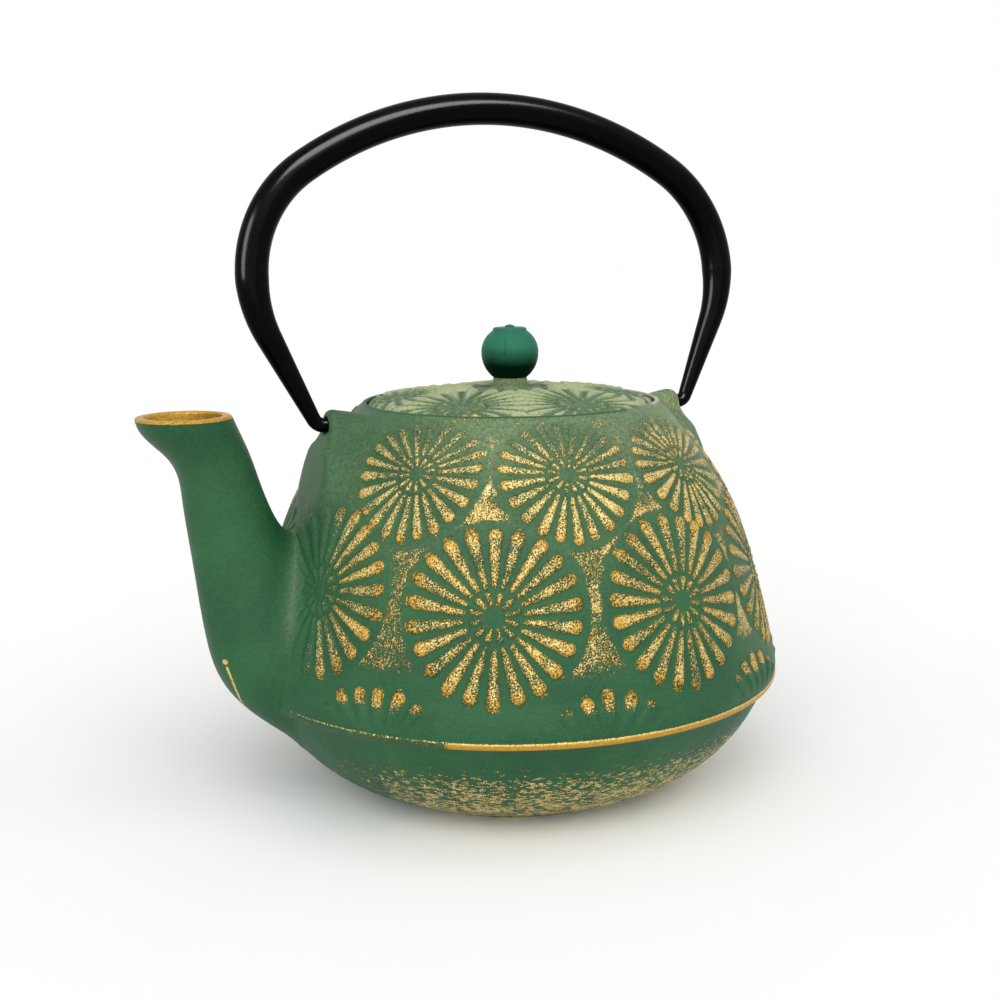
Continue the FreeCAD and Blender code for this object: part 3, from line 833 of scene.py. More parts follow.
class TEAPOT_OT_vessel(bpy.types.Operator):
    """Cast the vessel with its spout, lugs and ornament"""

    bl_idname = "teapot.vessel"
    bl_label = "Vessel"

    def execute(self, context):
        sizes, colours = context.scene.teapot_sizes, context.scene.teapot_colours
        vessel = mesh_piece("cast_vessel", *skin(turned(outline_points(OUTLINE, (0.0, 0.0))[1:], 1000)))
        hollow = mesh_piece("hollow", *skin(turned(outline_points(INSIDE, (0.0, 4.2))[1:], 240)))
        form = VesselForm(sizes)
        form.raise_lugs(vessel)
        spout, bore = spout_solids()
        combine(vessel, spout, "UNION")
        combine(hollow, bore, "UNION")
        for side in (-1, 1):
            combine(hollow, pin_hole(side), "UNION")
        combine(vessel, hollow, "DIFFERENCE")
        self.dress(vessel, form, sizes)
        finish_piece(vessel, "pot", "pot_body", "lacquered_iron", *cast_iron(colours))
        self.line_inside(vessel, form)
        return {"FINISHED"}

    def dress(self, vessel, form, sizes):
        """Softens the spout's join, raises the ornament and lays the gilding."""
        points = points_of(vessel)
        x, y, z = points.T
        wall, body, spout = form.wall(points), form.body(points), form.spout(points)
        nearest = np.minimum(body, spout)
        on_skin = np.abs(nearest) < ON_SKIN
        on_wall = on_skin & (np.abs(body) < ON_SKIN) & (z < RIM_Z - 0.3)
        on_spout = on_skin & (np.abs(spout) < ON_SKIN) & ~on_wall
        near = on_skin & (form.joined(points) < nearest - 1e-3) & (x < -30)
        moved = form.eased(form.joined, vessel, points, near, nearest[near], 14)

        relief, tip, left = np.zeros((3, len(points)))
        outside, room = np.full((2, len(points)), 50.0)
        found = form.ornament(points[on_wall])
        relief[on_wall], outside[on_wall], tip[on_wall], left[on_wall], room[on_wall] = found
        clear = ramp(spout, 0.5, 4.5) * ramp(wall, 3.5, 0.8)
        from_spout = 180 - np.abs(np.degrees(np.arctan2(y, x)))
        top_shown = ramp(z, *SHOWN_TOP) * ramp(from_spout, *SHOWN_TOP_TURN)
        shown = 0.12 + 0.88 * np.maximum(ramp(from_spout, *SHOWN_TURN), top_shown)
        place, low_edge, high_edge = form.along(z), form.along(BEAD_LOW), form.along(BEAD_HIGH)
        bowl = on_wall & (z < BEAD_LOW - 0.6)
        room = room + 0.5 * grain(points, 2.5, 9)
        between = on_wall * ramp(room, 0.9, 2.6) * ramp(z, *BETWEEN_LOW) * ramp(z, *BETWEEN_HIGH) * clear

        # Petals, grooves beside the bead, rough bowl, uneven skin and rough ground between the flowers
        rise = relief * clear * sizes.petal_rise / MM
        for edge in (low_edge - 0.2, high_edge + 0.3):
            rise -= 0.3 * np.exp(-(((place - edge) / 0.35) ** 2)) * ramp(spout, 0.0, 6.0)
        flat = points * (0.5, 0.5, 1.3)
        rough = grain(flat, 0.95, 3) + 0.6 * grain(flat, 1.9, 4)
        rough_part = ramp(z, BEAD_LOW - 2, BEAD_LOW - 7) * ramp(z, 0.6, 2.5)
        rise += bowl * rough * sizes.stipple / MM * 0.5 * rough_part
        rise += (z > BEAD_HIGH + 2) * grain(points, 5.0, 5) * 0.05 * (1 - np.clip(relief, 0, 1))
        stippled = grain(points, 1.1, 6)
        rise += between * stippled * 0.16
        moved += form.normal(points) * (rise * on_wall)[:, None]
        wide = on_wall & (z < 45)
        moved[wide, :2] *= np.minimum(1, WIDEST_R / np.hypot(*moved[wide, :2].T))[:, None]
        moved[:, 2] = np.maximum(moved[:, 2], 0.005)
        set_points(vessel, moved)

        # Gilding on petals, ground, bead, bowl and valley
        level = left * (0.66 + 0.16 * tip) * ramp(outside, 1.0, 0.7) * (1 - 0.03 * ramp(z, 84, 92))
        gilding = level * clear * shown * (0.5 + 0.5 * ramp(z + 2.5 * grain(points, 6.0, 15), *WORN_TOP))
        # Painted sheen: the shoulder far from the spout is paled where it catches the light
        sheen = on_wall * ramp(from_spout, *SHEEN_TURN) * ramp(z, *SHEEN_HEIGHT)
        loose = between * shown * (0.7 + 0.3 * ramp(grain(points, 9.0, 7), -0.5, 0.3))
        loose *= 0.75 + 0.25 * ramp(from_spout, *LOOSE_TURN)
        sparse = (0.5 + 0.18 * ramp(z, *LOOSE_HEIGHT) + 0.16 * stippled) * loose
        sprinkled = ramp(room, 0.0, 0.8) * ramp(z, *SPRINKLE_HEIGHT) * ramp(from_spout, *SPRINKLE_TURN)
        sprinkled *= on_wall * (0.1 + 0.3 * ramp(grain(points, 4.0, 16), -0.2, 0.5))
        solid = ramp(from_spout, *BEAD_TURN)
        bead = on_wall * ramp(z, BEAD_LOW - 0.1, BEAD_LOW + 0.25) * ramp(z, BEAD_HIGH + 0.1, BEAD_HIGH - 0.2)
        bead = bead * (1.5 * solid + 0.42 * ramp(from_spout, *BEAD_THIN_TURN))
        lines = sum(np.exp(-(((place - edge) / 0.3) ** 2)) for edge in (low_edge - 0.1, high_edge - 0.1))
        lines *= on_wall * ramp(from_spout, *BEAD_EDGE_TURN)
        streaky = bowl * ramp(z, BEAD_LOW - 1.5, BEAD_LOW - 3.0)
        thick = 0.46 * ramp(z, *BOWL_THICK) + 0.08 * ramp(z, *BOWL_THICKEST)
        thick = streaky * thick * (0.3 + 0.7 * ramp(from_spout, *BOWL_TURN))
        valley = np.exp(-(((spout + body) / 3.0) ** 2)) * ramp(z, *VALLEY_LOW) * ramp(z, *VALLEY_HIGH)
        valley *= on_wall | on_spout
        for laid in (sparse, sprinkled, bead, lines * (0.62 - 0.1 * solid), thick, 0.26 * valley):
            gilding = np.maximum(gilding, laid)

        # Gilt mouth of the spout, and the drop that ran down from it
        pour = (x < -80) & (z > 100)
        inner = pour & ~on_spout & (spout < -0.5)
        gilding = np.where(inner, 1.3 * ramp(z, 100, 108), gilding)
        gilding = np.where(pour & (z > SPOUT[-1, 0] - LIP_ROUND), 1.2, gilding)
        drip = np.full(len(points), 9.0)
        drip[on_spout] = self.from_drip(points[on_spout])
        gilding = np.maximum(gilding, 1.2 * ramp(drip, 0.7, 0.25))

        pale = (0.15 + 0.4 * ramp(outside, -0.1, -0.7)) * (1 - 0.5 * tip)
        pale += 0.2 * ramp(z, 80, 100) + 0.7 * (1 - shown)
        pale = np.where(outside < 0.6, pale, 0)
        pale += streaky * 0.8 + valley + 0.55 * loose + 0.5 * (sprinkled > 0)
        pale = np.where(drip < 1, 0.6, pale + 0.6 * lines)
        pale = np.clip(np.where(inner, 0.15, pale), 0, 1)
        petal = np.maximum(np.clip(0.5 - outside / 2, 0, 1), ramp(room, 0.3, 0.9))
        petal = np.where(on_wall & (z > BEAD_HIGH + 0.5), petal, 1)
        # The ground pales towards the rim, most high on the shoulder away from the spout: partly dust, partly
        # painted light where the shoulder catches it
        dusty = 0.3 * ramp(z, *RIM_DUST_AND_PAINTED_LIGHT_HEIGHT) * ramp(from_spout, *RIM_DUST_AND_PAINTED_LIGHT_TURN)
        dusty += 0.12 * ramp(z, *DUST_AND_PAINTED_LIGHT_HEIGHT) + 0.06 * loose
        dusty = on_wall * (z > BEAD_HIGH) * dusty + 0.2 * valley + 0.16 * sheen
        dusty *= 1 - 0.42 * ramp(room, 3.0, -5.0)
        worn = ramp(z, RIM_Z - 0.7, RIM_Z - 0.1) * (x > -60) * (np.hypot(x, y) < 47)
        facing = np.cos(np.arctan2(y, x) + math.radians(25))
        bare = worn * ramp(facing + 0.1 * grain(points, 6.0, 8), 0.75, 0.95)
        paint(vessel, gilding=gilding, pale=pale, petal=petal, dusty=dusty, bare=bare, streaky=streaky)

    def from_drip(self, points):
        """Distance from the bead of gilding that ran down the spout, a drop and a thin trail."""
        nearest = np.linalg.norm(points - DRIP[0], axis=1) - 0.45
        for start, end in zip(DRIP[1:-1], DRIP[2:]):
            run = end - start
            share = np.clip((points - start) @ run / (run @ run), 0, 1)
            nearest = np.minimum(nearest, np.linalg.norm(points - start - share[:, None] * run, axis=1))
        return nearest

    def line_inside(self, vessel, form):
        """Enamels the faces of the hollow, below the rim and the spout's gilt mouth. Up the rim's inner wall
        it is painted shade for the gap round the lid.
        """
        points = points_of(vessel)
        deep = (form.wall(points) < -1.2) & (form.spout(points) < 60)
        # The lining reaches to just under the rim; near the top it is painted shade for the gap round the lid
        deep &= (points[:, 2] > 3.5) & (points[:, 2] < RIM_Z - 0.15)
        deep |= (form.spout(points) < -1.2) & (points[:, 2] < 101) & (points[:, 2] > 21)
        line_faces(vessel, deep)


class TEAPOT_OT_lid(bpy.types.Operator):
    """Cast the lid with its flowers, boss and skirt"""

    bl_idname = "teapot.lid"
    bl_label = "Lid"

    def execute(self, context):
        sizes, colours = context.scene.teapot_sizes, context.scene.teapot_colours
        stretches = (
            ((SKIRT_IN, CEILING_Z), 0.0, 3.0),
            ((SKIRT_IN, SKIRT_Z + 0.3), 0.0, 2.0),
            ((SKIRT_IN + 0.3, SKIRT_Z), 0.0, 0.3),
            ((SKIRT_R - 0.3, SKIRT_Z), 0.0, 1.0),
            ((SKIRT_R, SKIRT_Z + 0.3), 0.0, 0.3),
            ((SKIRT_R, LID_SEAT_Z), 0.0, 2.0),
            ((LID_R - 0.2, LID_SEAT_Z), 0.0, 1.0),
            ((LID_R, LID_SEAT_Z + 0.2), 0.0, 0.3),
            ((LID_R - 0.2, LID_EDGE_Z - 0.9), 0.0, 0.5),
            ((LID_R - 1.1, LID_EDGE_Z), 0.25, 0.2),
            ((BOSS_R + 1.6, DOME_Z - 0.1), DOME_SAG - 0.06, 0.45),
            ((BOSS_R - 0.1, DOME_Z + 1.2), -0.35, 0.3),
            ((BOSS_TOP_R + 0.1, BOSS_Z - 0.3), 0.0, 0.5),
            ((BOSS_TOP_R - 0.2, BOSS_Z), 0.06, 0.15),
            ((BORE_R, BOSS_Z), 0.0, 1.0),
            ((BORE_R, CEILING_Z + 0.5), 0.0, 1.5),
        )
        lid = turned_piece("cast_lid", (BORE_R, CEILING_Z), stretches, 760)
        points = points_of(lid)
        x, y, z = points.T
        out = np.hypot(x, y)
        top = (z > LID_EDGE_Z - 0.9) & (out > BOSS_R + 0.4)
        chance = np.random.default_rng(23)
        relief, other, gilding = np.zeros((3, len(z)))
        outside, closest, second = np.full((3, len(z)), 50.0)
        radius = sizes.lid_flower_r / MM
        for k in range(LID_FLOWERS):
            turn = math.radians(LID_FLOWER_START + 360 / LID_FLOWERS * k)
            along = x * math.cos(turn) + y * math.sin(turn) - LID_FLOWER_OUT
            across = y * math.cos(turn) - x * math.sin(turn)
            away = np.hypot(along, across)
            rise, beyond, _, left = flower(across, along, radius, sizes, chance, LID_FULL, LID_CROWN)
            mine = top & (away < closest)
            next_best = ~mine & (away < second)
            other = np.where(mine, relief, np.where(next_best, rise, other))
            relief, outside = np.where(mine, rise, relief), np.where(mine, beyond, outside)
            gilding = np.where(mine, left, gilding)
            second = np.where(mine, closest, np.minimum(second, away))
            closest = np.minimum(closest, away)
        inside_edge = ramp(out, LID_R - 0.5, LID_R - 1.6)
        # Where two flowers meet, each gives half of the relief
        relief = other + (relief - other) * (0.5 + 0.5 * ramp(second - closest, 0.0, 1.2))
        proud = np.clip(relief, 0, 1) * ramp(out, BOSS_R - 0.5, BOSS_R + 2.0)
        rise = (proud + np.minimum(relief, 0)) * sizes.lid_petal_rise / MM * inside_edge
        loose = top * ramp(outside, 0.5, 1.5)
        rise += top * (grain(points, 1.3, 12) * 0.06 + loose * grain(points, 2.2, 13) * 0.1) * inside_edge
        points[:, 2] += rise
        set_points(lid, points)
        front = ramp(np.cos(np.arctan2(y, x) - math.radians(LID_GILT_TURN)), 0.78, 0.95)
        edge = ramp(out, LID_R - 3.0, LID_R - 1.0) * (z > LID_EDGE_Z - 1.0)
        gilding = gilding * 0.22 + edge * front * (0.1 + 0.6 * ramp(grain(points, 3.0, 14), -0.3, 0.4))
        boss = (out < BOSS_R + 1.5) & (z > DOME_Z + 0.3)
        gilding = np.where(boss, 0.24, gilding)
        # The lid's top is paled all over, and most on its raised petals: partly dust, partly painted
        # highlight where the lid and its petals catch the light
        dusty = np.where(top, 2.0 * ramp(proud, 0.18, 0.72) + 0.3, 0.5 * boss)
        pale = np.where(edge > 0.3, 0.7, 0.85)
        plain, whole = np.zeros(len(z)), np.ones(len(z))
        paint(lid, gilding=gilding, pale=pale, petal=whole, dusty=dusty, bare=plain, streaky=plain)
        finish_piece(lid, "lid", "lid", "lacquered_iron", *cast_iron(colours))
        # The lid's underside is lined as well, and its side wall gets the dark lining as painted shade for
        # the gap round it
        line_faces(lid, (points[:, 2] < LID_EDGE_Z - 0.45) & (out > BOSS_R))
        return {"FINISHED"}


class TEAPOT_OT_knob(bpy.types.Operator):
    """Turn the knob and its stud, washer and nut"""

    bl_idname = "teapot.knob"
    bl_label = "Knob and fixings"

    def execute(self, context):
        colours = context.scene.teapot_colours
        green, steel = shared(lacquered_knob, colours), shared(stainless, colours)
        self.ball(green)
        self.stud(green)
        self.washer(steel)
        self.nut(steel)
        return {"FINISHED"}

    def ball(self, green):
        """Ball with a crown ring and the faint seams of its mould."""
        foot, middle, crown = (BOSS_TOP_R, BOSS_Z), (BALL_R, BOSS_Z + BALL_MID_H), (CROWN_R, CROWN_Z)
        sags = []
        for a, b in ((foot, middle), (middle, crown)):
            length = math.hypot(b[0] - a[0], b[1] - a[1])
            radius = length**2 / (2 * abs(b[0] - a[0]))
            sags.append(radius - math.sqrt(radius**2 - length**2 / 4))
        top = CROWN_Z + CROWN_H
        stretches = (
            (foot, 0.0, 0.6),
            (middle, sags[0], 0.25),
            ((CROWN_R + 0.25, CROWN_Z - 0.12), sags[1] * 0.97, 0.25),
            ((CROWN_R, CROWN_Z + 0.15), -0.06, 0.1),
            ((CROWN_R - 0.1, CROWN_Z + 0.55), 0.05, 0.1),
            ((CROWN_R - 0.75, top - 0.05), 0.1, 0.12),
            ((CROWN_R - 1.6, top - 0.12), 0.05, 0.2),
            ((STUD_R + 0.6, top), 0.03, 0.3),
            ((STUD_R, top), 0.0, 0.3),
            ((STUD_R, BOSS_Z + 0.5), 0.0, 2.0),
        )
        ball = turned_piece("turned_knob", (STUD_R, BOSS_Z), stretches, 256)
        points = points_of(ball)
        x, y, z = points.T
        out = np.hypot(x, y)
        angle = np.degrees(np.arctan2(y, x))
        shown = ramp(z, BOSS_Z + 5.5, BOSS_Z + 7.5) * ramp(z, CROWN_Z - 0.8, CROWN_Z - 2.5)
        shown *= out > CROWN_R + 0.4
        across = (angle - KNOB_SEAM_TURN + 90) % 180 - 90
        upright_seam = np.exp(-((np.radians(across) * out / KNOB_SEAM_W) ** 2))
        level_seam = np.exp(-(((z - BOSS_Z - BALL_MID_H + 0.2) / KNOB_SEAM_W) ** 2))
        less = shown * KNOB_SEAM_DEPTH * upright_seam + (out > CROWN_R) * 0.05 * level_seam
        points[:, :2] *= (1 - less / np.maximum(out, 1))[:, None]
        set_points(ball, points)
        finish_piece(ball, "lid", "knob_ball", "lacquered_knob", green)

    def stud(self, green):
        """Stud with a rounded nib, and a cut thread at its lower end."""
        stretches = (
            ((STUD_R - 0.3, STUD_LOW), 0.0, 0.4),
            ((STUD_R, STUD_LOW + 0.3), 0.0, 0.1),
            ((STUD_R, CEILING_Z), 0.0, 0.1),
            ((STUD_R, STUD_HIGH - 0.75), 0.0, 2.0),
            ((STUD_R - 0.45, STUD_HIGH - 0.18), 0.12, 0.1),
            ((0.1, STUD_HIGH), 0.05, 0.2),
        )
        around, pitch = 48, 0.5
        rings = turned(outline_points(stretches, (0.1, STUD_LOW)), around)
        angle = round_angles(around)
        z = rings[:, :, 2]
        cut = np.abs(((z / pitch + angle / (2 * math.pi)) % 1) - 0.5) * 2
        threaded = ramp(z, STUD_LOW + 0.1, STUD_LOW + 0.5) * ramp(z, CEILING_Z, CEILING_Z - 0.4)
        rings[:, :, :2] *= (1 - threaded * (1 - cut) * 0.16)[:, :, None]
        stud = mesh_piece("knob_stud_nib", *skin(rings))
        finish_piece(stud, "lid", "knob_stud", "lacquered_knob", green, sharp=70)

    def washer(self, steel):
        """Plain washer with a rounded edge."""
        low, high = CEILING_Z - WASHER_T, CEILING_Z
        hole = STUD_R + 0.3
        stretches = (
            ((WASHER_R - 0.15, low), 0.0, 1.0),
            ((WASHER_R, low + 0.2), 0.05, 0.08),
            ((WASHER_R, high), 0.0, 0.4),
            ((hole, high), 0.0, 1.0),
            ((hole, low + 0.12), 0.0, 0.4),
        )
        washer = turned_piece("plain_washer", (hole + 0.12, low), stretches, 96)
        finish_piece(washer, "lid", "knob_washer", "stainless", steel, sharp=35)

    def nut(self, steel):
        """Hexagon nut with its corners turned off and its bore chamfered."""
        around = 144
        angle = round_angles(around)
        flats = NUT_AF / 2 / np.cos((angle + math.pi / 6) % (math.pi / 3) - math.pi / 6)
        rounded = NUT_AF / 2 * 1.02
        rows = (
            (NUT_Z, rounded), (NUT_Z + 0.35, 9), (NUT_Z + NUT_T - 0.35, 9), (NUT_Z + NUT_T, rounded),
            (NUT_Z + NUT_T, -0.25), (NUT_Z + NUT_T - 0.25, 0), (NUT_Z + 0.25, 0), (NUT_Z, -0.25),
        )
        rings = []
        for z, limit in rows:
            radius = np.minimum(flats, limit) if limit > 0 else np.full(around, STUD_R - limit)
            ring = (radius * np.cos(angle), radius * np.sin(angle), np.full(around, z))
            rings.append(np.stack(ring, axis=1))
        nut = mesh_piece("hex_nut", *skin(np.array(rings), looped=True))
        finish_piece(nut, "lid", "knob_nut", "stainless", steel, sharp=25)


class TEAPOT_OT_bail(bpy.types.Operator):
    """Bend the bail's tube and set it in the lugs"""

    bl_idname = "teapot.bail"
    bl_label = "Bail"

    def execute(self, context):
        path, radius = self.centre_line()
        ahead = np.gradient(path, axis=0)
        ahead /= np.linalg.norm(ahead, axis=1)[:, None]
        angle = round_angles(72)
        side = np.stack((ahead[:, 1], -ahead[:, 0]), axis=1)
        flat = radius[:, None] * np.cos(angle)
        x = path[:, None, 0] + side[:, None, 0] * flat
        z = path[:, None, 1] + side[:, None, 1] * flat
        y = radius[:, None] * np.sin(angle)
        lean = math.radians(BAIL_LEAN)
        up = z - HINGE_Z
        rings = np.stack((
            x,
            y * math.cos(lean) + up * math.sin(lean),
            HINGE_Z + up * math.cos(lean) - y * math.sin(lean),
        ), axis=-1)
        bail = mesh_piece("bail_tube", *skin(rings[:, ::-1]))
        colours = context.scene.teapot_colours
        finish_piece(bail, "bail", "handle", "black_bail", shared(lacquered_bail, colours))
        return {"FINISHED"}

    def centre_line(self):
        """Points of the tube's middle from pin to pin, and its radius at each."""
        drop = BAIL_TOP_H - BAIL_WIDE_H
        sine, cosine = math.sin(BAIL_CROWN), math.cos(BAIL_CROWN)
        share = sine * cosine - (1 - sine) * (1 - cosine)
        crown_r = (BAIL_HALF_W * cosine - drop * (1 - sine)) / share
        corner_r = (drop * sine - BAIL_HALF_W * (1 - cosine)) / share
        crown = np.array((0, HINGE_Z + BAIL_TOP_H - crown_r))
        corner = np.array((BAIL_HALF_W - corner_r, HINGE_Z + BAIL_WIDE_H))
        cut = BAIL_BEND_R
        for _ in range(20):
            knee = np.array((LUG_X + BAIL_GAP + cut, HINGE_Z))
            reach = knee - corner
            turn = math.atan2(reach[1], reach[0]) + math.acos(corner_r / np.hypot(*reach))
            leg_top = corner + corner_r * np.array((math.cos(turn), math.sin(turn)))
            along = (knee - leg_top) / np.hypot(*(knee - leg_top))
            bend = math.acos(-along[0])
            cut = BAIL_BEND_R * math.tan(bend / 2)
        tip, pin_end = (LUG_X - PIN_LEN, HINGE_Z), (knee[0] - cut, HINGE_Z)
        pin = np.linspace(tip, pin_end, 24)
        down, up = -math.pi / 2, math.pi / 2
        bend_points = self.bent((pin_end[0], HINGE_Z + BAIL_BEND_R), BAIL_BEND_R, down, down + bend, 16)
        leg = np.linspace(knee - along * cut, leg_top, 60)[1:]
        corner_points = self.bent(corner, corner_r, turn, up - BAIL_CROWN, 70)
        crown_points = self.bent(crown, crown_r, up - BAIL_CROWN, up, 60)
        half = np.concatenate((pin, bend_points, leg, corner_points, crown_points))
        run = run_along(half)
        low = run[len(pin) + len(bend_points) - 1]
        wide = run[np.argmax(half[:, 0])]
        radius = PIN_R + (BAIL_R - PIN_R) * np.clip((run - low) / (wide - low), 0, 1)
        radius = np.where(run < 0.5, PIN_R - 0.5 + run, radius)
        mirrored = half[-2::-1] * (-1, 1)
        return np.concatenate((half, mirrored)), np.concatenate((radius, radius[-2::-1]))

    def bent(self, middle, radius, start, end, count):
        """Points of an arc in the plane, without its first."""
        angle = np.linspace(start, end, count)[1:]
        return middle + radius * np.stack((np.cos(angle), np.sin(angle)), axis=1)


class TEAPOT_OT_infuser(bpy.types.Operator):
    """Press the basket's rim and base, and weave its mesh"""

    bl_idname = "teapot.infuser"
    bl_label = "Strainer basket"

    def execute(self, context):
        sizes, colours = context.scene.teapot_sizes, context.scene.teapot_colours
        steel = shared(stainless, colours)
        self.rim(steel)
        self.wall(steel, sizes.wire / MM, sizes.wire_pitch / MM)
        self.floor(steel, sizes.wire / MM, sizes.wire_pitch / MM)
        self.base_ring(steel)
        return {"FINISHED"}

    def rim(self, steel):
        """Flange with a rolled edge, and the collar below it."""
        inner, low, top = COLLAR_R - SHEET, STEP_Z - COLLAR_H, STEP_Z + FLANGE_T
        stretches = (
            ((COLLAR_R - 0.15, low), 0.0, 0.2),
            ((COLLAR_R, low + 0.15), 0.04, 0.08),
            ((COLLAR_R, STEP_Z - 0.3), 0.0, 1.0),
            ((COLLAR_R + 0.3, STEP_Z), -0.09, 0.1),
            ((FLANGE_R - 0.4, STEP_Z), 0.0, 0.8),
            ((FLANGE_R, STEP_Z + FLANGE_T / 2), 0.12, 0.12),
            ((FLANGE_R - 0.4, top), 0.12, 0.12),
            ((inner + 0.9, top), 0.0, 0.8),
            ((inner, top - 0.9), 0.26, 0.12),
            ((inner, low + 0.15), 0.0, 1.0),
        )
        rim = turned_piece("basket_rim", (inner + 0.15, low), stretches, 240)
        finish_piece(rim, "infuser", "infuser_rim", "stainless", steel)

    def base_ring(self, steel):
        """Ring that holds the mesh of wall and floor."""
        low, inner = MESH_LOW - SHEET, BASE_R - BASE_W
        stretches = (
            ((BASE_R - 0.8, low), 0.0, 0.8),
            ((BASE_R, low + 0.8), 0.23, 0.12),
            ((BASE_R, MESH_LOW + BASE_H - 0.1), 0.0, 1.0),
            ((MESH_R + 0.02, MESH_LOW + BASE_H), 0.05, 0.1),
            ((MESH_R + 0.02, MESH_LOW + 0.1), 0.0, 1.0),
            ((MESH_R - 0.1, MESH_LOW), 0.0, 0.1),
            ((inner + 0.1, MESH_LOW), 0.0, 0.8),
            ((inner, low + 0.2), 0.1, 0.1),
        )
        ring = turned_piece("basket_base_ring", (inner + 0.1, low), stretches, 240)
        finish_piece(ring, "infuser", "infuser_base_ring", "stainless", steel)

    def wires(self, name, paths, wire):
        """One piece of many thin round wires, each a run of points with its two sideways directions."""
        angle = round_angles(6)
        points, quads, caps, count = [], [], [], 0
        for path, across, up in paths:
            rings = path[:, None, :] + wire / 2 * (
                np.cos(angle)[:, None] * across[:, None, :] + np.sin(angle)[:, None] * up[:, None, :])
            found, sides, ends = skin(rings)
            points.append(found)
            quads.append(sides + count)
            caps.append(ends + count)
            count += len(found)
        return mesh_piece(name, np.concatenate(points), np.concatenate(quads), np.concatenate(caps))

    def wall(self, steel, wire, pitch):
        """Plain weave round the basket: uprights pass in front of and behind the rings by turns."""
        middle, swing = MESH_R - SHEET / 2, (SHEET - wire) / 2
        uprights = int(2 * math.pi * middle / pitch / 2) * 2
        low, high = MESH_LOW + wire, MESH_HIGH - wire
        rings = int((high - low) / pitch)
        step = (high - low) / rings
        paths = []
        z = np.linspace(low - wire / 2, high + wire / 2, rings * 4 + 1)
        for k in range(uprights):
            turn = 2 * math.pi * k / uprights
            out = middle + swing * np.cos(math.pi * ((z - low) / step + k))
            path = np.stack((out * math.cos(turn), out * math.sin(turn), z), axis=1)
            across = np.tile((math.sin(turn), -math.cos(turn), 0.0), (len(z), 1))
            outward = np.tile((math.cos(turn), math.sin(turn), 0.0), (len(z), 1))
            paths.append((path, across, outward))
        turn = np.linspace(0, 2 * math.pi, uprights * 3 + 1)
        outward = np.stack((np.cos(turn), np.sin(turn), np.zeros_like(turn)), axis=1)
        upward = np.tile((0.0, 0.0, 1.0), (len(turn), 1))
        for i in range(rings + 1):
            out = middle - swing * np.cos(math.pi * (turn * uprights / (2 * math.pi) + i))
            path = outward * out[:, None]
            path[:, 2] = low + i * step
            paths.append((path, outward, upward))
        wall = self.wires("basket_mesh", paths, wire)
        finish_piece(wall, "infuser", "infuser_wall", "stainless", steel, sharp=80)

    def floor(self, steel, wire, pitch):
        """Plain weave across the basket's floor, cut round."""
        swing, level, edge = (SHEET - wire) / 2, MESH_LOW + SHEET / 2, COLLAR_R - 0.15
        count = int(edge / pitch)
        paths = []
        for i in range(-count, count + 1):
            at = i * pitch
            half = math.sqrt(edge * edge - at * at)
            if half < pitch:
                continue
            run = np.linspace(-half, half, max(5, round(half * 8 / pitch) + 1))
            weave = swing * np.cos(math.pi * (run / pitch + i))
            fixed = np.full(len(run), at)
            upward = np.tile((0.0, 0.0, 1.0), (len(run), 1))
            over = np.stack((run, fixed, level + weave), axis=1)
            under = np.stack((fixed, run, level - weave), axis=1)
            paths.append((over, np.tile((0.0, 1.0, 0.0), (len(run), 1)), upward))
            paths.append((under, np.tile((-1.0, 0.0, 0.0), (len(run), 1)), upward))
        floor = self.wires("basket_floor_mesh", paths, wire)
        finish_piece(floor, "infuser", "infuser_floor", "stainless", steel, sharp=80)


# Stage

CAMERA_AT = (-205.68, -419.99, 171.96)
CAMERA_ON = (-3.22, 1.58, 87.67)
CAMERA_ROLL = -0.65
CAMERA_LENS = 53.99
# Soft suns: name, direction the light comes from, strength, angle of its soft source
SUNS = (
    ("skylight", (0.1, -0.5, 0.8), 0.6, 60),
    ("softbox_front", (-0.45, -1.0, 0.6), 1.75, 70),
    ("softbox_left", (-0.95, -0.3, 0.45), 0.7, 70),
    ("softbox_right", (0.8, -0.6, 0.6), 0.35, 70),
)
# Strips that draw the long lights on the bail: name, direction the light comes from, direction of the long
# side, length and width for each metre away, brightness
STRIPS = (
    ("strip_above", (0.1, -0.52, 0.78), (0.68, -0.24, -0.23), 0.83, 0.36, 72.0),
    ("strip_left", (-0.95, -0.2, 0.5), (0.0, 0.0, 1.0), 0.56, 0.4, 50.0),
)
STRIP_AWAY = 2.0
SKY_LEVEL = 0.48
FLOOR_R, FLOOR_Z = 6000, -0.05


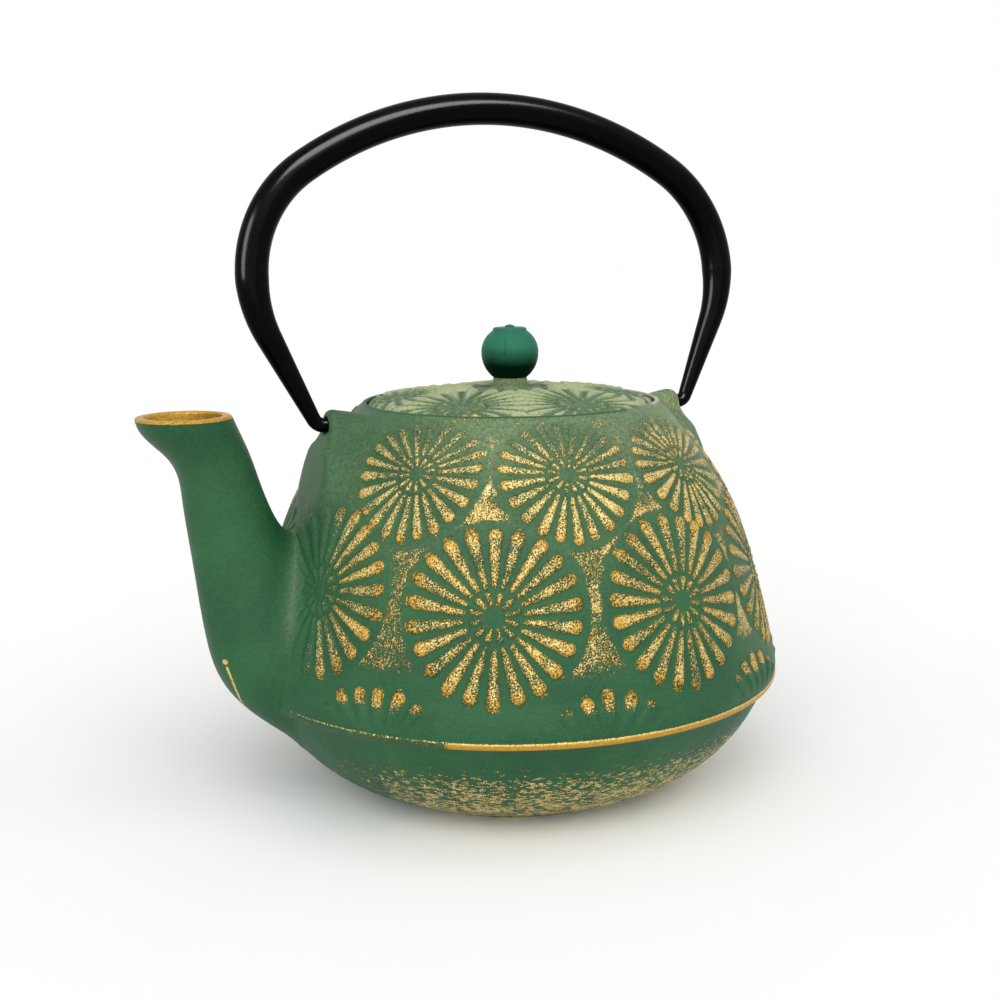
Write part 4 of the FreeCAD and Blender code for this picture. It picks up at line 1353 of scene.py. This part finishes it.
class TEAPOT_OT_stage(bpy.types.Operator):
    """Lay the floor, hang the soft lamps and place the camera"""

    bl_idname = "teapot.stage"
    bl_label = "Stage"

    def execute(self, context):
        scene = context.scene
        scene.view_settings.view_transform = "Standard"
        self.floor(scene)
        self.sky(scene)
        for name, toward, strength, angle in SUNS:
            light = bpy.data.lights.new(name, "SUN")
            light.energy = strength
            light.angle = math.radians(angle)
            self.hang(scene, light, Vector(toward), Vector((0, 0, 1)))
        lit = bpy.data.collections.new("lit_by_strips")
        lit.objects.link(scene.objects["bail_tube"])
        for name, toward, along, length, width, brightness in STRIPS:
            light = bpy.data.lights.new(name, "AREA")
            light.shape = "RECTANGLE"
            light.size, light.size_y = length * STRIP_AWAY, width * STRIP_AWAY
            light.energy = brightness * 4 * light.size * light.size_y
            lamp = self.hang(scene, light, Vector(toward), Vector(along))
            lamp.light_linking.receiver_collection = lit
            lamp.visible_diffuse = False
        camera = bpy.data.objects.new("camera", bpy.data.cameras.new("camera"))
        camera.data.lens = CAMERA_LENS
        camera.data.sensor_width = 36.0
        camera.data.clip_start = 0.01
        camera.location = Vector(CAMERA_AT) * MM
        camera.rotation_mode = "QUATERNION"
        aim = (Vector(CAMERA_ON) - Vector(CAMERA_AT)).to_track_quat("-Z", "Y")
        camera.rotation_quaternion = aim @ Quaternion((0, 0, 1), math.radians(CAMERA_ROLL))
        scene.collection.objects.link(camera)
        scene.camera = camera
        return {"FINISHED"}

    def hang(self, scene, light, toward, along):
        """Hangs a lamp that shines back from toward, with its long side along."""
        out = toward.normalized()
        across = (along - out * along.dot(out)).normalized()
        lamp = bpy.data.objects.new(light.name, light)
        lamp.matrix_world = Matrix((across, out.cross(across), out)).transposed().to_4x4()
        lamp.location = out * STRIP_AWAY
        lamp.visible_camera = False
        scene.collection.objects.link(lamp)
        return lamp

    def floor(self, scene):
        """Matt paper sweep: near white, with no gloss of its own."""
        angle = round_angles(96)
        count = len(angle)
        ring = np.stack((np.cos(angle), np.sin(angle), np.zeros(count)), axis=1) * FLOOR_R
        ring[:, 2] = FLOOR_Z
        points = np.concatenate((ring, ((0, 0, FLOOR_Z),)))
        corner = np.arange(count)
        faces = np.stack((np.full(count, count), corner, (corner + 1) % count), axis=1)
        floor = mesh_piece("paper_floor", points, faces)
        material, put, place = new_material("paper_matt_white")
        fibre = put("TexNoise", {"Vector": place, "Scale": per_mm(40.0)})
        tone = put("MapRange", (fibre, 0.3, 0.7, 0.0, 0.15))
        colour = put("Mix", {0: tone, 6: (*scene.teapot_colours.floor, 1), 7: (1, 1, 1, 1)}, **RGBA)
        put("OutputMaterial", (put("BsdfDiffuse", {"Color": colour}),))
        floor.data.materials.append(material)

    def sky(self, scene):
        """Even light from all round, and white where it is looked at."""
        world = bpy.data.worlds.new("white_sweep")
        scene.world = world
        world.use_nodes = True
        world.node_tree.nodes.clear()
        put = functools.partial(add, world.node_tree)
        rays = put("LightPath").node.outputs
        light = put("Background", {"Color": (1, 1, 1, 1), "Strength": SKY_LEVEL})
        white = put("Background", {"Color": (1, 1, 1, 1), "Strength": 1.0})
        seen = put("Math", (rays["Is Glossy Ray"], rays["Is Transmission Ray"]), operation="MAXIMUM")
        seen = put("Math", (seen, rays["Is Camera Ray"]), operation="MAXIMUM")
        put("OutputWorld", (put("MixShader", (seen, light, white)),))


class TEAPOT_PT_panel(bpy.types.Panel):
    """Sizes, colours and pieces of the teapot"""

    bl_idname = "TEAPOT_PT_panel"
    bl_label = "Cast iron teapot"
    bl_space_type = "VIEW_3D"
    bl_region_type = "UI"
    bl_category = "Teapot"

    def draw(self, context):
        layout = self.layout
        for group in (context.scene.teapot_sizes, context.scene.teapot_colours):
            column = layout.column()
            for name in group.bl_rna.properties.keys():
                if name not in ("rna_type", "name"):
                    column.prop(group, name)
        column = layout.column()
        for operator in PIECES:
            column.operator(operator.bl_idname)


PIECES = (
    TEAPOT_OT_vessel,
    TEAPOT_OT_lid,
    TEAPOT_OT_knob,
    TEAPOT_OT_bail,
    TEAPOT_OT_infuser,
    TEAPOT_OT_stage,
)
CLASSES = (TeapotSizes, TeapotColours, *PIECES, TEAPOT_PT_panel)


def register():
    for each in CLASSES:
        bpy.utils.register_class(each)
    bpy.types.Scene.teapot_sizes = bpy.props.PointerProperty(type=TeapotSizes)
    bpy.types.Scene.teapot_colours = bpy.props.PointerProperty(type=TeapotColours)


def unregister():
    del bpy.types.Scene.teapot_colours
    del bpy.types.Scene.teapot_sizes
    for each in reversed(CLASSES):
        bpy.utils.unregister_class(each)


def main():
    register()
    bpy.ops.teapot.vessel()
    bpy.ops.teapot.lid()
    bpy.ops.teapot.knob()
    bpy.ops.teapot.bail()
    bpy.ops.teapot.infuser()
    bpy.ops.teapot.stage()


if __name__ == "__main__":
    main()
